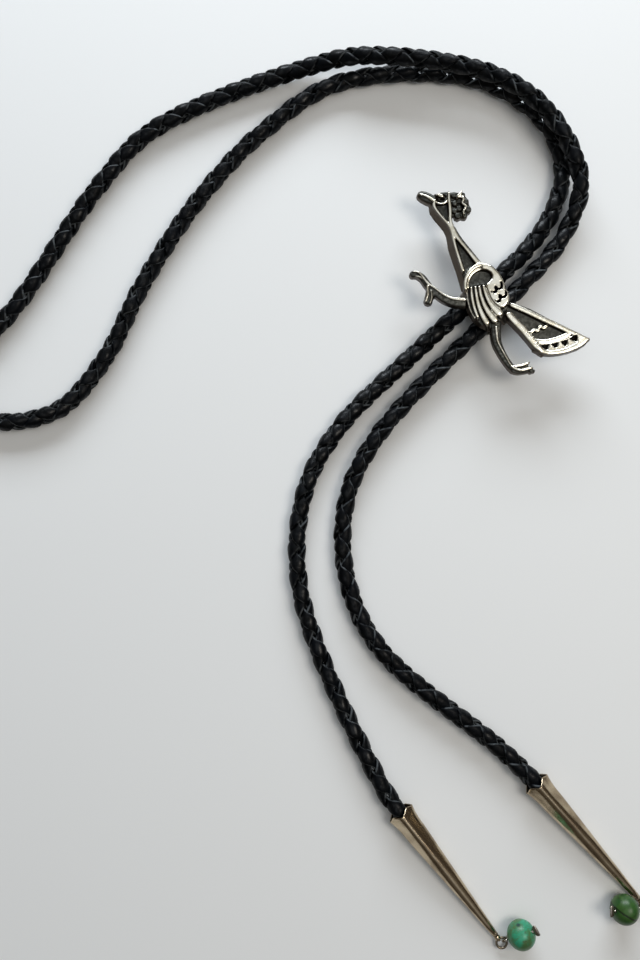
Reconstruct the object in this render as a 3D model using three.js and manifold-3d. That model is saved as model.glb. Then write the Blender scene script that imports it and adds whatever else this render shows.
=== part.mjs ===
// A bolo tie lying open on a flat surface: a cast silver bird slide, the plain keeper
// behind it, one braided leather cord and two tapered silver tips with turquoise beads.
// Millimetres, +Z up. The surface is z = 0. The origin is the middle of the keeper's back,
// +X points to the bird's tail and +Y to its crest.

import * as THREE from "three";
import { mergeVertices } from "three/addons/utils/BufferGeometryUtils.js";
import Module from "manifold-3d";

const wasm = await Module();
wasm.setup();

// Driving dimensions of the cord
const gap = 0.3; // clearance kept between neighbouring pieces
const cordThick = 5.4;
const cordSides = 12;
const cordSteps = 80;
const cordLiftOff = 0.1; // the lying cord's clearance to the surface
const cordLying = cordThick / 2 + cordLiftOff;
const cordWide = 178; // the cord's reach along X, from the neck loop to its right side
const cordTall = 214; // the cord's reach along Y, from the tips' mouths to the top of the loop

// Driving dimensions of the keeper, a strap bent round both cords
const keeperSheet = 0.6;
const keeperLong = 7;
const keeperTurn = THREE.MathUtils.degToRad(41); // direction of the cords behind the slide
const cordSpacing = 7.4; // between the two cords' centres inside the keeper
const keeperCorner = 1.2;
const keeperWide = cordSpacing + cordThick + 2 * gap + 2 * keeperSheet;
const keeperHigh = cordThick + 2 * gap + 2 * keeperSheet;

// Driving dimensions of the bird slide. Heights are above the slide's back.
const slideWide = 50; // beak and toes to tail, along X
const slideTall = 51.5; // claws to crest, along Y
const slideAside = 2.3; // the drawing's middle beside the keeper's middle, along X
const slideRaise = 2.4; // and above it, along Y
const slideBack = keeperHigh + gap;
const floorHigh = 1.9; // floors of the recesses
const plateHigh = 2.8; // legs, toes, beak and crest
const bodyHigh = 3.0;
const railHigh = 3.5; // rims and rails round the recesses
const ridgeHigh = 3.7; // feather bars
const shoulderHigh = 4.1; // the top of the curled wing
const cutDeep = 0.9; // the notches in the shoulder and tail

// Driving dimensions of the tips
const tipLong = 43;
const tipMouth = 7.1; // outer width across the mouth
const tipEnd = 1.4; // outer width at the small end
const tipWall = 0.3;
const tipHollow = 0.75; // share of the length that is hollow
const tipTab = 0.9; // how far the rim's four tabs stand past its notches
const tipSides = 24;
const tipSquareness = 0.8; // how square the mouth is: 0 is round
const tipRoundFrom = 0.2; // share of the length where the cone has become round
const cordInTip = 2; // how far the cord goes into the mouth

// Driving dimensions of the beads, their pins and the rings on the tips
const ringRadius = 1.4; // to the middle of the wire
const ringWire = 0.65;
const eyeRadius = 0.9;
const wireThick = 0.6;
const beadWide = 8.1;
const beadLong = 7.5; // along the drilled hole
const beadSides = 16;
const headLong = 1.2;
const headWide = 2.8;
const headThick = 0.6;
const wireSides = 6;
const roundSides = 12;
const restGap = 0.1; // clearance of the rings' eyes and the beads to the surface
const ringHigh = eyeRadius + wireThick / 2 + restGap; // the ring's middle above the surface

// A table of rows with named columns.
function table(columns, rows) {
  const names = columns.split(" ");
  return rows.map((row) => Object.fromEntries(names.map((name, i) => [name, row[i]])));
}

// The cord's route from the left tip, up behind the slide, round the neck loop and down to
// the right tip. Its places are shares of the cord's reach, and lift is how many of its
// thicknesses it is above the height at which it lies on the surface.
const cordRoute = table("x y lift", [
  [-0.1388, -0.6593, 0.111],
  [-0.1680, -0.6248, 0.030],
  [-0.2933, -0.3799, 0],
  [-0.2888, -0.2509, 0],
  [-0.2360, -0.1650, 0],
  [-0.1056, -0.0565, 0.019],
  [0.0191, 0.0379, 0.167],
  [0.0742, 0.0832, 0.012],
  [0.1129, 0.1304, 0],
  [0.1331, 0.1897, 0],
  [0.1073, 0.2579, 0],
  [-0.0034, 0.3201, 0],
  [-0.2326, 0.3154, 0],
  [-0.3624, 0.2421, 0],
  [-0.4309, 0.1822, 0],
  [-0.4904, 0.1164, 0],
  [-0.5528, 0.0290, 0],
  [-0.6084, -0.0673, 0],
  [-0.6792, -0.1360, 0],
  [-0.7618, -0.1537, 0],
  [-0.7961, -0.1463, 0],
  [-0.8208, -0.1257, 0],
  [-0.8298, -0.0991, 0],
  [-0.8197, -0.0664, 0],
  [-0.7472, 0.0117, 0],
  [-0.6208, 0.1738, 0.009],
  [-0.5360, 0.2495, 0],
  [-0.2747, 0.3374, 0.222],
  [-0.1843, 0.3411, 0.981],
  [0.0152, 0.3131, 1.130],
  [0.1045, 0.2593, 1.148],
  [0.1556, 0.1687, 0.796],
  [0.1331, 0.1014, 0.056],
  [0.0506, 0.0206, 0.130],
  [-0.1742, -0.1757, 0.005],
  [-0.2219, -0.2612, 0],
  [-0.2202, -0.3626, 0],
  [-0.1685, -0.4523, 0],
  [0.0157, -0.5785, 0.020],
  [0.0708, -0.6224, 0.111],
]);

// How each tip lies: the angle of its axis in plan, where the pin's eye hangs on the ring,
// the pin's own direction in plan, and the bare wire between its eye and the bead, in
// thicknesses of the wire. The mouth is where the cord's route ends.
const tips = table("side tipTurn eyeTurn pinTurn bareWire", [
  ["left", -51.9, 42, 30, 0],
  ["right", -48.4, 190, 176, 1],
]);

function toSolid(geometry) {
  const bare = geometry.clone();
  bare.deleteAttribute("normal");
  bare.deleteAttribute("uv");
  const merged = mergeVertices(bare, 1e-4);
  return new wasm.Manifold(
    new wasm.Mesh({
      numProp: 3,
      vertProperties: Float32Array.from(merged.attributes.position.array),
      triVerts: Uint32Array.from(merged.index.array),
    }),
  );
}

function toGeometry(solid) {
  const mesh = solid.getMesh();
  const geometry = new THREE.BufferGeometry();
  geometry.setAttribute("position", new THREE.BufferAttribute(mesh.vertProperties, 3));
  geometry.setIndex(new THREE.BufferAttribute(mesh.triVerts, 1));
  return geometry;
}

function join(geometries) {
  return geometries.map(toSolid).reduce((whole, solid) => whole.add(solid));
}

// A flat plate between two heights, from its outline.
function plate(outline, low, high) {
  const geometry = new THREE.ExtrudeGeometry(new THREE.Shape(outline), {
    depth: high - low,
    bevelEnabled: false,
  });
  return geometry.translate(0, 0, low);
}

// The outline of a strip with round ends, along a smooth line of rows {x, y, wide}.
function stripOutline(rows, stepsPerRow) {
  const points = rows.map((row) => new THREE.Vector3(row.x, row.y, 0));
  const line = new THREE.CatmullRomCurve3(points, false, "centripetal");
  const steps = (rows.length - 1) * stepsPerRow;
  const left = [];
  const right = [];
  const ends = [];
  for (let i = 0; i <= steps; i++) {
    const share = i / steps;
    const row = Math.min(Math.floor(share * (rows.length - 1)), rows.length - 2);
    const part = share * (rows.length - 1) - row;
    const half = THREE.MathUtils.lerp(rows[row].wide, rows[row + 1].wide, part) / 2;
    const middle = line.getPoint(share);
    const along = line.getTangent(share);
    const turn = Math.atan2(along.y, along.x);
    left.push(aroundPoint(middle, half, turn + Math.PI / 2));
    right.push(aroundPoint(middle, half, turn - Math.PI / 2));
    if (i === 0 || i === steps) {
      ends.push({ middle, half, turn });
    }
  }
  const arc = (end, start) =>
    [1, 2, 3].map((k) => aroundPoint(end.middle, end.half, start - (k * Math.PI) / 4));
  const farArc = arc(ends[1], ends[1].turn + Math.PI / 2);
  const nearArc = arc(ends[0], ends[0].turn - Math.PI / 2);
  return [...left, ...farArc, ...right.reverse(), ...nearArc];
}

function aroundPoint(middle, radius, turn) {
  return new THREE.Vector2(middle.x + radius * Math.cos(turn), middle.y + radius * Math.sin(turn));
}

// Places on the slide are shares of its width and height, and widths are shares of its width.
function onSlide(rows) {
  return rows.map((row) => ({
    x: row.x * slideWide + slideAside,
    y: row.y * slideTall + slideRaise,
    wide: row.wide * slideWide,
  }));
}

function bar(rows, high, low = 0) {
  const outline = stripOutline(onSlide(table("x y wide", rows)), 3);
  return plate(outline, slideBack + low, slideBack + high);
}

// A flat field whose corners are rounded by a smooth closed line, or left as they are.
function field(rows, high, round) {
  const corners = onSlide(table("x y wide", rows));
  if (!round) {
    return plate(corners.map((c) => new THREE.Vector2(c.x, c.y)), slideBack, slideBack + high);
  }
  const points = corners.map((corner) => new THREE.Vector3(corner.x, corner.y, 0));
  const line = new THREE.CatmullRomCurve3(points, true, "centripetal");
  const outline = line.getPoints(rows.length * 3).slice(0, -1);
  return plate(outline.map((p) => new THREE.Vector2(p.x, p.y)), slideBack, slideBack + high);
}

// A three-sided notch cut down from the top of the relief.
function notch(rows, top) {
  const outline = onSlide(table("x y", rows)).map((c) => new THREE.Vector2(c.x, c.y));
  return plate(outline, slideBack + top - cutDeep, slideBack + shoulderHigh + gap);
}

function headAndNeck() {
  return [
    // the face, with its recessed cheek
    field(
      [
        [-0.345, 0.528],
        [-0.254, 0.568],
        [-0.236, 0.36],
        [-0.19, 0.3],
        [-0.094, 0.172],
        [-0.12, 0.09],
        [-0.184, 0.12],
        [-0.21, 0.232],
        [-0.237, 0.338],
        [-0.325, 0.45],
      ],
      floorHigh,
      false,
    ),
    // the beak, thick where it meets the head and blunt at the tip
    bar(
      [
        [-0.422, 0.556, 0.04],
        [-0.385, 0.546, 0.048],
        [-0.34, 0.526, 0.052],
      ],
      plateHigh,
    ),
    bar(
      [
        [-0.41, 0.558, 0.012],
        [-0.375, 0.545, 0.014],
        [-0.34, 0.52, 0.018],
      ],
      railHigh,
    ),
    // the rail down the throat, which goes on as the left side of the split neck
    bar(
      [
        [-0.345, 0.523, 0.013],
        [-0.346, 0.498, 0.013],
        [-0.32, 0.45, 0.013],
        [-0.265, 0.388, 0.013],
        [-0.237, 0.338, 0.015],
        [-0.221, 0.282, 0.014],
        [-0.208, 0.232, 0.015],
        [-0.19, 0.16, 0.016],
        [-0.178, 0.1, 0.016],
      ],
      railHigh,
    ),
    // the rail down the back of the head, which goes on as the right side of the neck
    bar(
      [
        [-0.256, 0.562, 0.014],
        [-0.256, 0.51, 0.014],
        [-0.252, 0.444, 0.015],
        [-0.246, 0.39, 0.018],
        [-0.226, 0.332, 0.022],
        [-0.198, 0.298, 0.02],
        [-0.138, 0.228, 0.018],
        [-0.094, 0.168, 0.018],
      ],
      railHigh,
    ),
    // the eye, in its rim
    bar(
      [
        [-0.305, 0.548, 0.022],
        [-0.3, 0.546, 0.022],
      ],
      ridgeHigh,
    ),
    bar(
      [
        [-0.318, 0.512, 0.01],
        [-0.29, 0.508, 0.012],
        [-0.268, 0.53, 0.012],
        [-0.262, 0.56, 0.012],
      ],
      railHigh,
    ),
  ];
}

function crest() {
  const lobes = table("x y wide", [
    [-0.222, 0.556, 0.05],
    [-0.178, 0.56, 0.042],
    [-0.158, 0.52, 0.044],
    [-0.152, 0.476, 0.046],
    [-0.17, 0.436, 0.046],
    [-0.214, 0.432, 0.05],
  ]);
  const discs = onSlide(lobes).map((lobe) => {
    const disc = new THREE.CylinderGeometry(lobe.wide / 2, lobe.wide / 2, plateHigh, roundSides);
    return disc.rotateX(Math.PI / 2).translate(lobe.x, lobe.y, slideBack + plateHigh / 2);
  });
  return [
    ...discs,
    field(
      [
        [-0.25, 0.56],
        [-0.18, 0.55],
        [-0.16, 0.5],
        [-0.17, 0.445],
        [-0.24, 0.42],
      ],
      floorHigh,
      false,
    ),
    // the crooked line along the crest
    bar(
      [
        [-0.2, 0.562, 0.012],
        [-0.19, 0.535, 0.012],
        [-0.178, 0.52, 0.012],
        [-0.162, 0.49, 0.012],
        [-0.178, 0.455, 0.012],
      ],
      railHigh,
    ),
  ];
}

function wing() {
  return [
    // the body under the wing
    field(
      [
        [-0.18, 0.09],
        [-0.161, 0.131],
        [-0.127, 0.162],
        [-0.088, 0.176],
        [-0.049, 0.173],
        [-0.01, 0.151],
        [0.039, 0.093],
        [0.066, 0.015],
        [0.072, -0.04],
        [0.06, -0.1],
        [0.018, -0.15],
        [-0.02, -0.178],
        [-0.066, -0.173],
        [-0.11, -0.14],
        [-0.15, -0.09],
        [-0.174, 0.0],
      ],
      floorHigh,
      true,
    ),
    // the curl: a rim that thickens over the back into the shoulder
    bar(
      [
        [-0.172, 0.045, 0.016],
        [-0.168, 0.095, 0.018],
        [-0.14, 0.138, 0.022],
        [-0.09, 0.157, 0.03],
        [-0.04, 0.148, 0.042],
        [-0.002, 0.115, 0.06],
        [0.006, 0.07, 0.085],
        [0.0, 0.03, 0.09],
      ],
      shoulderHigh,
    ),
    field(
      [
        [-0.045, 0.06],
        [-0.02, 0.1],
        [0.03, 0.095],
        [0.05, 0.05],
        [0.07, 0.0],
        [0.068, -0.05],
        [0.045, -0.082],
        [0.01, -0.075],
        [-0.02, -0.03],
        [-0.042, 0.02],
      ],
      shoulderHigh,
      true,
    ),
    // the border down the breast
    bar(
      [
        [-0.174, 0.06, 0.012],
        [-0.168, 0.005, 0.012],
        [-0.152, -0.06, 0.012],
        [-0.125, -0.115, 0.012],
      ],
      bodyHigh,
    ),
    // four feather bars, each wider than the one before
    bar(
      [
        [-0.14, 0.04, 0.011],
        [-0.137, -0.04, 0.011],
        [-0.106, -0.135, 0.014],
      ],
      ridgeHigh,
    ),
    bar(
      [
        [-0.117, 0.044, 0.012],
        [-0.114, -0.03, 0.014],
        [-0.096, -0.095, 0.018],
        [-0.063, -0.158, 0.022],
      ],
      ridgeHigh,
    ),
    bar(
      [
        [-0.094, 0.046, 0.012],
        [-0.084, -0.035, 0.016],
        [-0.055, -0.098, 0.022],
        [-0.012, -0.152, 0.03],
      ],
      ridgeHigh,
    ),
    bar(
      [
        [-0.07, 0.048, 0.012],
        [-0.055, -0.01, 0.016],
        [-0.028, -0.066, 0.024],
        [0.018, -0.112, 0.036],
      ],
      ridgeHigh,
    ),
  ];
}

function wingNotches() {
  return [
    [
      [-0.03, 0.024],
      [-0.014, 0.002],
      [-0.002, 0.034],
    ],
    [
      [0.004, 0.036],
      [0.026, 0.022],
      [0.026, 0.066],
    ],
    [
      [-0.006, -0.03],
      [0.014, -0.046],
      [0.022, -0.008],
    ],
    [
      [0.03, -0.004],
      [0.052, -0.02],
      [0.053, 0.02],
    ],
  ].map((corners) => notch(corners, shoulderHigh));
}

function legs() {
  const rows = [
    // the left leg and its two toes
    [
      [-0.16, -0.05, 0.05],
      [-0.231, -0.041, 0.046],
      [-0.281, -0.028, 0.042],
      [-0.325, 0.002, 0.038],
      [-0.372, 0.044, 0.036],
    ],
    [
      [-0.365, 0.038, 0.036],
      [-0.4, 0.082, 0.042],
      [-0.428, 0.106, 0.042],
      [-0.458, 0.104, 0.044],
    ],
    [
      [-0.356, 0.03, 0.036],
      [-0.362, -0.01, 0.036],
      [-0.382, -0.05, 0.036],
    ],
    // the right leg and its two toes
    [
      [-0.012, -0.15, 0.044],
      [-0.002, -0.25, 0.034],
      [0.022, -0.312, 0.034],
      [0.062, -0.378, 0.034],
      [0.09, -0.408, 0.034],
    ],
    [
      [0.085, -0.404, 0.024],
      [0.135, -0.4, 0.024],
      [0.17, -0.386, 0.02],
    ],
    [
      [0.088, -0.415, 0.022],
      [0.14, -0.428, 0.026],
      [0.196, -0.424, 0.028],
    ],
  ];
  const ridges = [
    [
      [-0.17, -0.034, 0.014],
      [-0.24, -0.026, 0.013],
      [-0.3, -0.002, 0.012],
      [-0.372, 0.05, 0.012],
      [-0.402, 0.084, 0.011],
      [-0.44, 0.106, 0.011],
    ],
    [
      [0.004, -0.18, 0.012],
      [0.01, -0.25, 0.01],
      [0.036, -0.32, 0.01],
      [0.08, -0.384, 0.01],
    ],
  ];
  return [...rows.map((row) => bar(row, plateHigh)), ...ridges.map((row) => bar(row, railHigh))];
}

function tail() {
  return [
    field(
      [
        [0.05, -0.05],
        [0.085, -0.052],
        [0.14, -0.07],
        [0.3, -0.139],
        [0.512, -0.236],
        [0.512, -0.256],
        [0.45, -0.307],
        [0.392, -0.326],
        [0.32, -0.336],
        [0.265, -0.333],
        [0.215, -0.303],
        [0.045, -0.121],
      ],
      floorHigh,
      false,
    ),
    // the rims along the two long sides and round the end
    bar(
      [
        [0.06, -0.065, 0.024],
        [0.14, -0.094, 0.024],
        [0.3, -0.156, 0.026],
        [0.5, -0.247, 0.026],
      ],
      railHigh,
    ),
    bar(
      [
        [0.058, -0.102, 0.034],
        [0.14, -0.18, 0.034],
        [0.22, -0.268, 0.036],
        [0.232, -0.296, 0.03],
      ],
      railHigh,
    ),
    bar(
      [
        [0.23, -0.296, 0.024],
        [0.268, -0.322, 0.022],
        [0.32, -0.325, 0.022],
        [0.392, -0.315, 0.022],
        [0.45, -0.296, 0.022],
        [0.5, -0.254, 0.022],
      ],
      railHigh,
    ),
    // the bar across the tail and the band of teeth beyond it
    bar(
      [
        [0.222, -0.256, 0.02],
        [0.305, -0.258, 0.02],
        [0.36, -0.244, 0.02],
        [0.42, -0.214, 0.02],
      ],
      railHigh,
    ),
    field(
      [
        [0.225, -0.262],
        [0.42, -0.216],
        [0.5, -0.245],
        [0.45, -0.3],
        [0.392, -0.318],
        [0.27, -0.325],
        [0.235, -0.3],
      ],
      railHigh,
      false,
    ),
    // the stepped line on the recessed floor
    bar(
      [
        [0.198, -0.23, 0.014],
        [0.206, -0.2, 0.014],
        [0.236, -0.198, 0.014],
        [0.242, -0.176, 0.014],
        [0.28, -0.172, 0.014],
      ],
      bodyHigh,
    ),
  ];
}

// Four saw-teeth along the end of the tail, which shrink a little towards its point.
function tailNotches() {
  const first = { x: 0.262, y: -0.291 };
  const last = { x: 0.44, y: -0.246 };
  return [0, 1, 2, 3].map((i) => {
    const x = THREE.MathUtils.lerp(first.x, last.x, i / 3);
    const y = THREE.MathUtils.lerp(first.y, last.y, i / 3);
    const corners = [
      [x - 0.022, y + 0.012],
      [x + 0.008, y - 0.018],
      [x + 0.024, y + 0.022],
    ];
    return notch(corners, railHigh);
  });
}

function birdSlide() {
  const raised = join([...headAndNeck(), ...crest(), ...legs(), ...tail(), ...wing()]);
  const cuts = join([...wingNotches(), ...tailNotches()]);
  return toGeometry(raised.subtract(cuts));
}

function roundedRectangle(path, wide, low, high, corner) {
  const half = wide / 2;
  path.moveTo(half - corner, low);
  path.absarc(half - corner, low + corner, corner, -Math.PI / 2, 0);
  path.absarc(half - corner, high - corner, corner, 0, Math.PI / 2);
  path.absarc(corner - half, high - corner, corner, Math.PI / 2, Math.PI);
  path.absarc(corner - half, low + corner, corner, Math.PI, (3 * Math.PI) / 2);
  path.closePath();
  return path;
}

// The keeper's section is drawn across the cords and extruded along them.
function cordKeeper() {
  const section = roundedRectangle(new THREE.Shape(), keeperWide, 0, keeperHigh, keeperCorner);
  const passage = roundedRectangle(
    new THREE.Path(),
    keeperWide - 2 * keeperSheet,
    keeperSheet,
    keeperHigh - keeperSheet,
    keeperCorner - keeperSheet,
  );
  section.holes.push(passage);
  const geometry = new THREE.ExtrudeGeometry(section, {
    depth: keeperLong,
    bevelEnabled: false,
    curveSegments: 4,
  });
  geometry.translate(0, 0, -keeperLong / 2);
  const across = new THREE.Vector3(-Math.sin(keeperTurn), Math.cos(keeperTurn), 0);
  const up = new THREE.Vector3(0, 0, 1);
  const along = new THREE.Vector3().crossVectors(across, up);
  return geometry.applyMatrix4(new THREE.Matrix4().makeBasis(across, up, along));
}

function onRoute(row) {
  return new THREE.Vector3(row.x * cordWide, row.y * cordTall, cordLying + row.lift * cordThick);
}

function braidedCord(places) {
  const inside = places.map((place) => place.cordStop);
  const points = [inside[0], ...cordRoute.map(onRoute), inside[1]];
  const route = new THREE.CatmullRomCurve3(points, false, "centripetal");
  route.arcLengthDivisions = 2000;
  const section = [];
  for (let i = 0; i < cordSides; i++) {
    const turn = (2 * Math.PI * i) / cordSides;
    section.push(aroundPoint({ x: 0, y: 0 }, cordThick / 2, turn));
  }
  return new THREE.ExtrudeGeometry(new THREE.Shape(section), {
    steps: cordSteps,
    bevelEnabled: false,
    extrudePath: route,
  });
}

// A closed skin through rings of equal count, with a point at either end.
function skin(start, rings, end) {
  const sides = rings[0].length;
  const points = [start, ...rings.flat(), end];
  const faces = [];
  for (let i = 0; i < sides; i++) {
    const next = (i + 1) % sides;
    faces.push(0, 1 + i, 1 + next);
    for (let ring = 0; ring < rings.length - 1; ring++) {
      const near = 1 + ring * sides;
      const far = near + sides;
      faces.push(near + i, far + next, near + next);
      faces.push(near + i, far + i, far + next);
    }
    const last = 1 + (rings.length - 1) * sides;
    faces.push(points.length - 1, last + next, last + i);
  }
  const geometry = new THREE.BufferGeometry().setFromPoints(points);
  geometry.setIndex(faces);
  return geometry;
}

// One ring of the tip at a share of its length. The mouth is squarish, with a corner up,
// and its rim has a tab in the middle of each flat. Both fade into the round cone.
function tipRing(share, inset) {
  const half = THREE.MathUtils.lerp(tipMouth, tipEnd, share) / 2;
  const square = Math.max(0, 1 - share / tipRoundFrom);
  const power = 2 + tipSquareness * square;
  const ring = [];
  for (let i = 0; i < tipSides; i++) {
    const turn = (2 * Math.PI * i) / tipSides;
    const flat = turn + Math.PI / 4;
    const sum = Math.abs(Math.cos(flat)) ** power + Math.abs(Math.sin(flat)) ** power;
    const bulge = sum ** (-1 / power);
    const round = THREE.MathUtils.lerp(1, bulge / 2 ** (0.5 - 1 / power), square);
    const radius = half * round - inset;
    const tab = share === 0 ? tipTab * (0.5 - 0.5 * Math.cos(4 * turn)) : 0;
    ring.push(
      new THREE.Vector3(share * tipLong - tab, radius * Math.sin(turn), radius * Math.cos(turn)),
    );
  }
  return ring;
}

// The tip lies along its own +X from mouth to end, on its axis.
function tipCone() {
  const hollowShares = [tipHollow, 0.5, tipRoundFrom, 0.12, 0.05, 0];
  const outerShares = [0, 0.05, 0.12, tipRoundFrom, 0.5, 0.8, 1];
  const wall = (share) => Math.min(tipWall, THREE.MathUtils.lerp(tipMouth, tipEnd, share) / 4);
  const rings = [
    ...hollowShares.map((share) => tipRing(share, wall(share))),
    ...outerShares.map((share) => tipRing(share, 0)),
  ];
  const hollowEnd = new THREE.Vector3(tipLong * tipHollow + tipWall, 0, 0);
  return skin(hollowEnd, rings, new THREE.Vector3(tipLong + tipEnd / 4, 0, 0));
}

// The ring lies flat on the end of the tip, its wire sunk into the cone's point.
function tipGeometry(place) {
  const cone = tipCone();
  cone.applyMatrix4(place.tipMatrix);
  const ring = new THREE.TorusGeometry(ringRadius, ringWire / 2, 8, 2 * roundSides);
  ring.translate(place.ring.x, place.ring.y, place.ring.z);
  return toGeometry(join([cone, ring]));
}

// The pin lies along its own +X, with its origin at the middle of its eye, and reaches from
// there to the bead.
const beadHole = wireThick + 2 * gap;

function pinReach(row) {
  return eyeRadius + wireThick / 2 + gap + row.bareWire * wireThick;
}

function beadGeometry(reach) {
  const top = Math.asin(beadHole / beadWide);
  const profile = [];
  const arcs = 12;
  for (let i = 0; i <= arcs; i++) {
    const turn = THREE.MathUtils.lerp(top, Math.PI - top, i / arcs);
    const across = (beadWide / 2) * Math.sin(turn);
    profile.push(new THREE.Vector2(across, (-beadLong / 2) * Math.cos(turn)));
  }
  profile.push(profile[0].clone());
  const bead = new THREE.LatheGeometry(profile, beadSides);
  return bead.rotateZ(-Math.PI / 2).translate(reach + beadLong / 2, 0, 0);
}

function pinGeometry(reach) {
  const eye = new THREE.TorusGeometry(eyeRadius, wireThick / 2, wireSides, 2 * roundSides);
  eye.rotateX(Math.PI / 2);
  const wireEnd = reach + beadLong + gap + headLong / 2;
  const wireLong = wireEnd - eyeRadius;
  const wire = new THREE.CylinderGeometry(wireThick / 2, wireThick / 2, wireLong, wireSides);
  wire.rotateZ(Math.PI / 2).translate(eyeRadius + wireLong / 2, 0, 0);
  const head = new THREE.BoxGeometry(headLong, headWide, headThick);
  head.translate(wireEnd, 0, 0);
  return toGeometry(join([eye, wire, head]));
}

// Works out where each tip, ring, pin and bead lies from the cord's two ends.
function tipPlace(row, mouth) {
  const mouthHigh = tipMouth / 2;
  const drop = Math.asin((ringHigh - mouthHigh) / (tipLong + ringRadius));
  const turn = THREE.MathUtils.degToRad(row.tipTurn);
  const tipMatrix = new THREE.Matrix4().makeRotationZ(turn);
  tipMatrix.multiply(new THREE.Matrix4().makeRotationY(-drop));
  tipMatrix.setPosition(mouth.x, mouth.y, mouthHigh);
  const cordStop = new THREE.Vector3(cordInTip, 0, 0).applyMatrix4(tipMatrix);
  const ring = new THREE.Vector3(tipLong + ringRadius, 0, 0).applyMatrix4(tipMatrix);
  const eyeTurn = THREE.MathUtils.degToRad(row.eyeTurn);
  const eye = aroundPoint(ring, ringRadius, eyeTurn);
  const reach = pinReach(row);
  const rise = Math.asin((beadWide / 2 + restGap - ringHigh) / (reach + beadLong / 2));
  const pinMatrix = new THREE.Matrix4().makeRotationZ(THREE.MathUtils.degToRad(row.pinTurn));
  pinMatrix.multiply(new THREE.Matrix4().makeRotationY(-rise));
  pinMatrix.setPosition(eye.x, eye.y, ringHigh);
  return { side: row.side, tipMatrix, cordStop, ring, reach, pinMatrix };
}

const silver = { color: 0xc9c4b8, roughness: 0.25, metalness: 1 };
const agedSilver = { color: 0xa79d8b, roughness: 0.3, metalness: 1 };
const leather = { color: 0x0c0e11, roughness: 0.55, metalness: 0 };
const leftStone = { color: 0x3f8f77, roughness: 0.35, metalness: 0 };
const rightStone = { color: 0x2c5a22, roughness: 0.35, metalness: 0 };

function named(name, geometry, material) {
  const mesh = new THREE.Mesh(geometry, new THREE.MeshStandardMaterial(material));
  mesh.name = name;
  return mesh;
}

function beadDrop(place, stone) {
  const drop = new THREE.Group();
  drop.add(named(`${place.side}_bead`, beadGeometry(place.reach), stone));
  drop.add(named(`${place.side}_bead_pin`, pinGeometry(place.reach), agedSilver));
  drop.applyMatrix4(place.pinMatrix);
  return drop;
}

const places = [
  tipPlace(tips[0], onRoute(cordRoute[0])),
  tipPlace(tips[1], onRoute(cordRoute[cordRoute.length - 1])),
];

const boloTie = new THREE.Group();
boloTie.add(named("bird_slide", birdSlide(), silver));
boloTie.add(named("cord_keeper", cordKeeper(), agedSilver));
boloTie.add(named("braided_cord", braidedCord(places), leather));
boloTie.add(named("left_tip", tipGeometry(places[0]), agedSilver));
boloTie.add(named("right_tip", tipGeometry(places[1]), agedSilver));
boloTie.add(beadDrop(places[0], leftStone));
boloTie.add(beadDrop(places[1], rightStone));

export default boloTie;
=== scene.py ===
# %% [markdown]
# # A bolo tie with a cast silver bird, step by step
# A bolo tie is one long braided leather cord, a slide that both of its ends run through, and a
# metal tip on each end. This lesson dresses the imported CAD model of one: it loads the model,
# places the camera, braids the cord, and then makes the silver and stone pieces one at a time.
# Blender works in metres. A bolo tie is small, so the lesson thinks in millimetres and turns
# them into metres in one place.

# %% Load the frame
import math

import bmesh
import bpy
import numpy as np
from mathutils import Matrix, Vector


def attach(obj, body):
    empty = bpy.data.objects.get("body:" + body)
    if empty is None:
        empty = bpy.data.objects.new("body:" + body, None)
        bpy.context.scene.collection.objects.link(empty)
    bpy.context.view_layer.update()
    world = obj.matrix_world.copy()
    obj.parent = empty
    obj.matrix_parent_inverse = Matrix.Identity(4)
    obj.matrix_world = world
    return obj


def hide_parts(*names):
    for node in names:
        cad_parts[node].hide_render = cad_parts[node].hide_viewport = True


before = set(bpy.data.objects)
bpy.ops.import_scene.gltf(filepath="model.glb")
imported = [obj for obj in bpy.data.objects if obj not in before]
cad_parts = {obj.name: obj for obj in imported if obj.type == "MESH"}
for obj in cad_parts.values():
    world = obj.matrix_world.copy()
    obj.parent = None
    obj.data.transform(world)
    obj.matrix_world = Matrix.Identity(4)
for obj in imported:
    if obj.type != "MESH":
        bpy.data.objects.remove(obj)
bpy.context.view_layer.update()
MM = 0.001
scene = bpy.context.scene

# %% [markdown]
# ## The camera
# The picture is taken from nearly straight above, from a hand's height, so near things look
# larger than far ones. A long side of 36 mm of sensor and this lens give the same field of
# view. The camera leans back by five degrees: its look direction and its up direction are
# columns of its matrix.

# %% Place the camera
LEAN = math.radians(5.0)
camera_data = bpy.data.cameras.new("camera")
camera_data.lens = 35.625
camera_data.sensor_width = 36.0
camera = bpy.data.objects.new("camera", camera_data)
scene.collection.objects.link(camera)
camera.matrix_world = Matrix.Translation(Vector((-46.86, -72.85, 270.40)) * MM) @ Matrix.Rotation(
    LEAN, 4, "X"
)
camera_data.clip_start = 0.01
scene.camera = camera
print("camera height in mm:", round(camera.matrix_world.translation.z / MM, 1))

# %% [markdown]
# ## The cord's route
# The cord starts in the left tip, runs up behind the bird, round the neck loop and down to the
# right tip. These are the points that the CAD model's cord follows, as shares of its reach. The
# third number lifts the cord above the height at which it lies on the paper, counted in
# thicknesses of the cord, where it climbs over its own first turn and where it passes through
# the keeper. A smooth curve through them is worked out once, and then walked in even steps.

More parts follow.
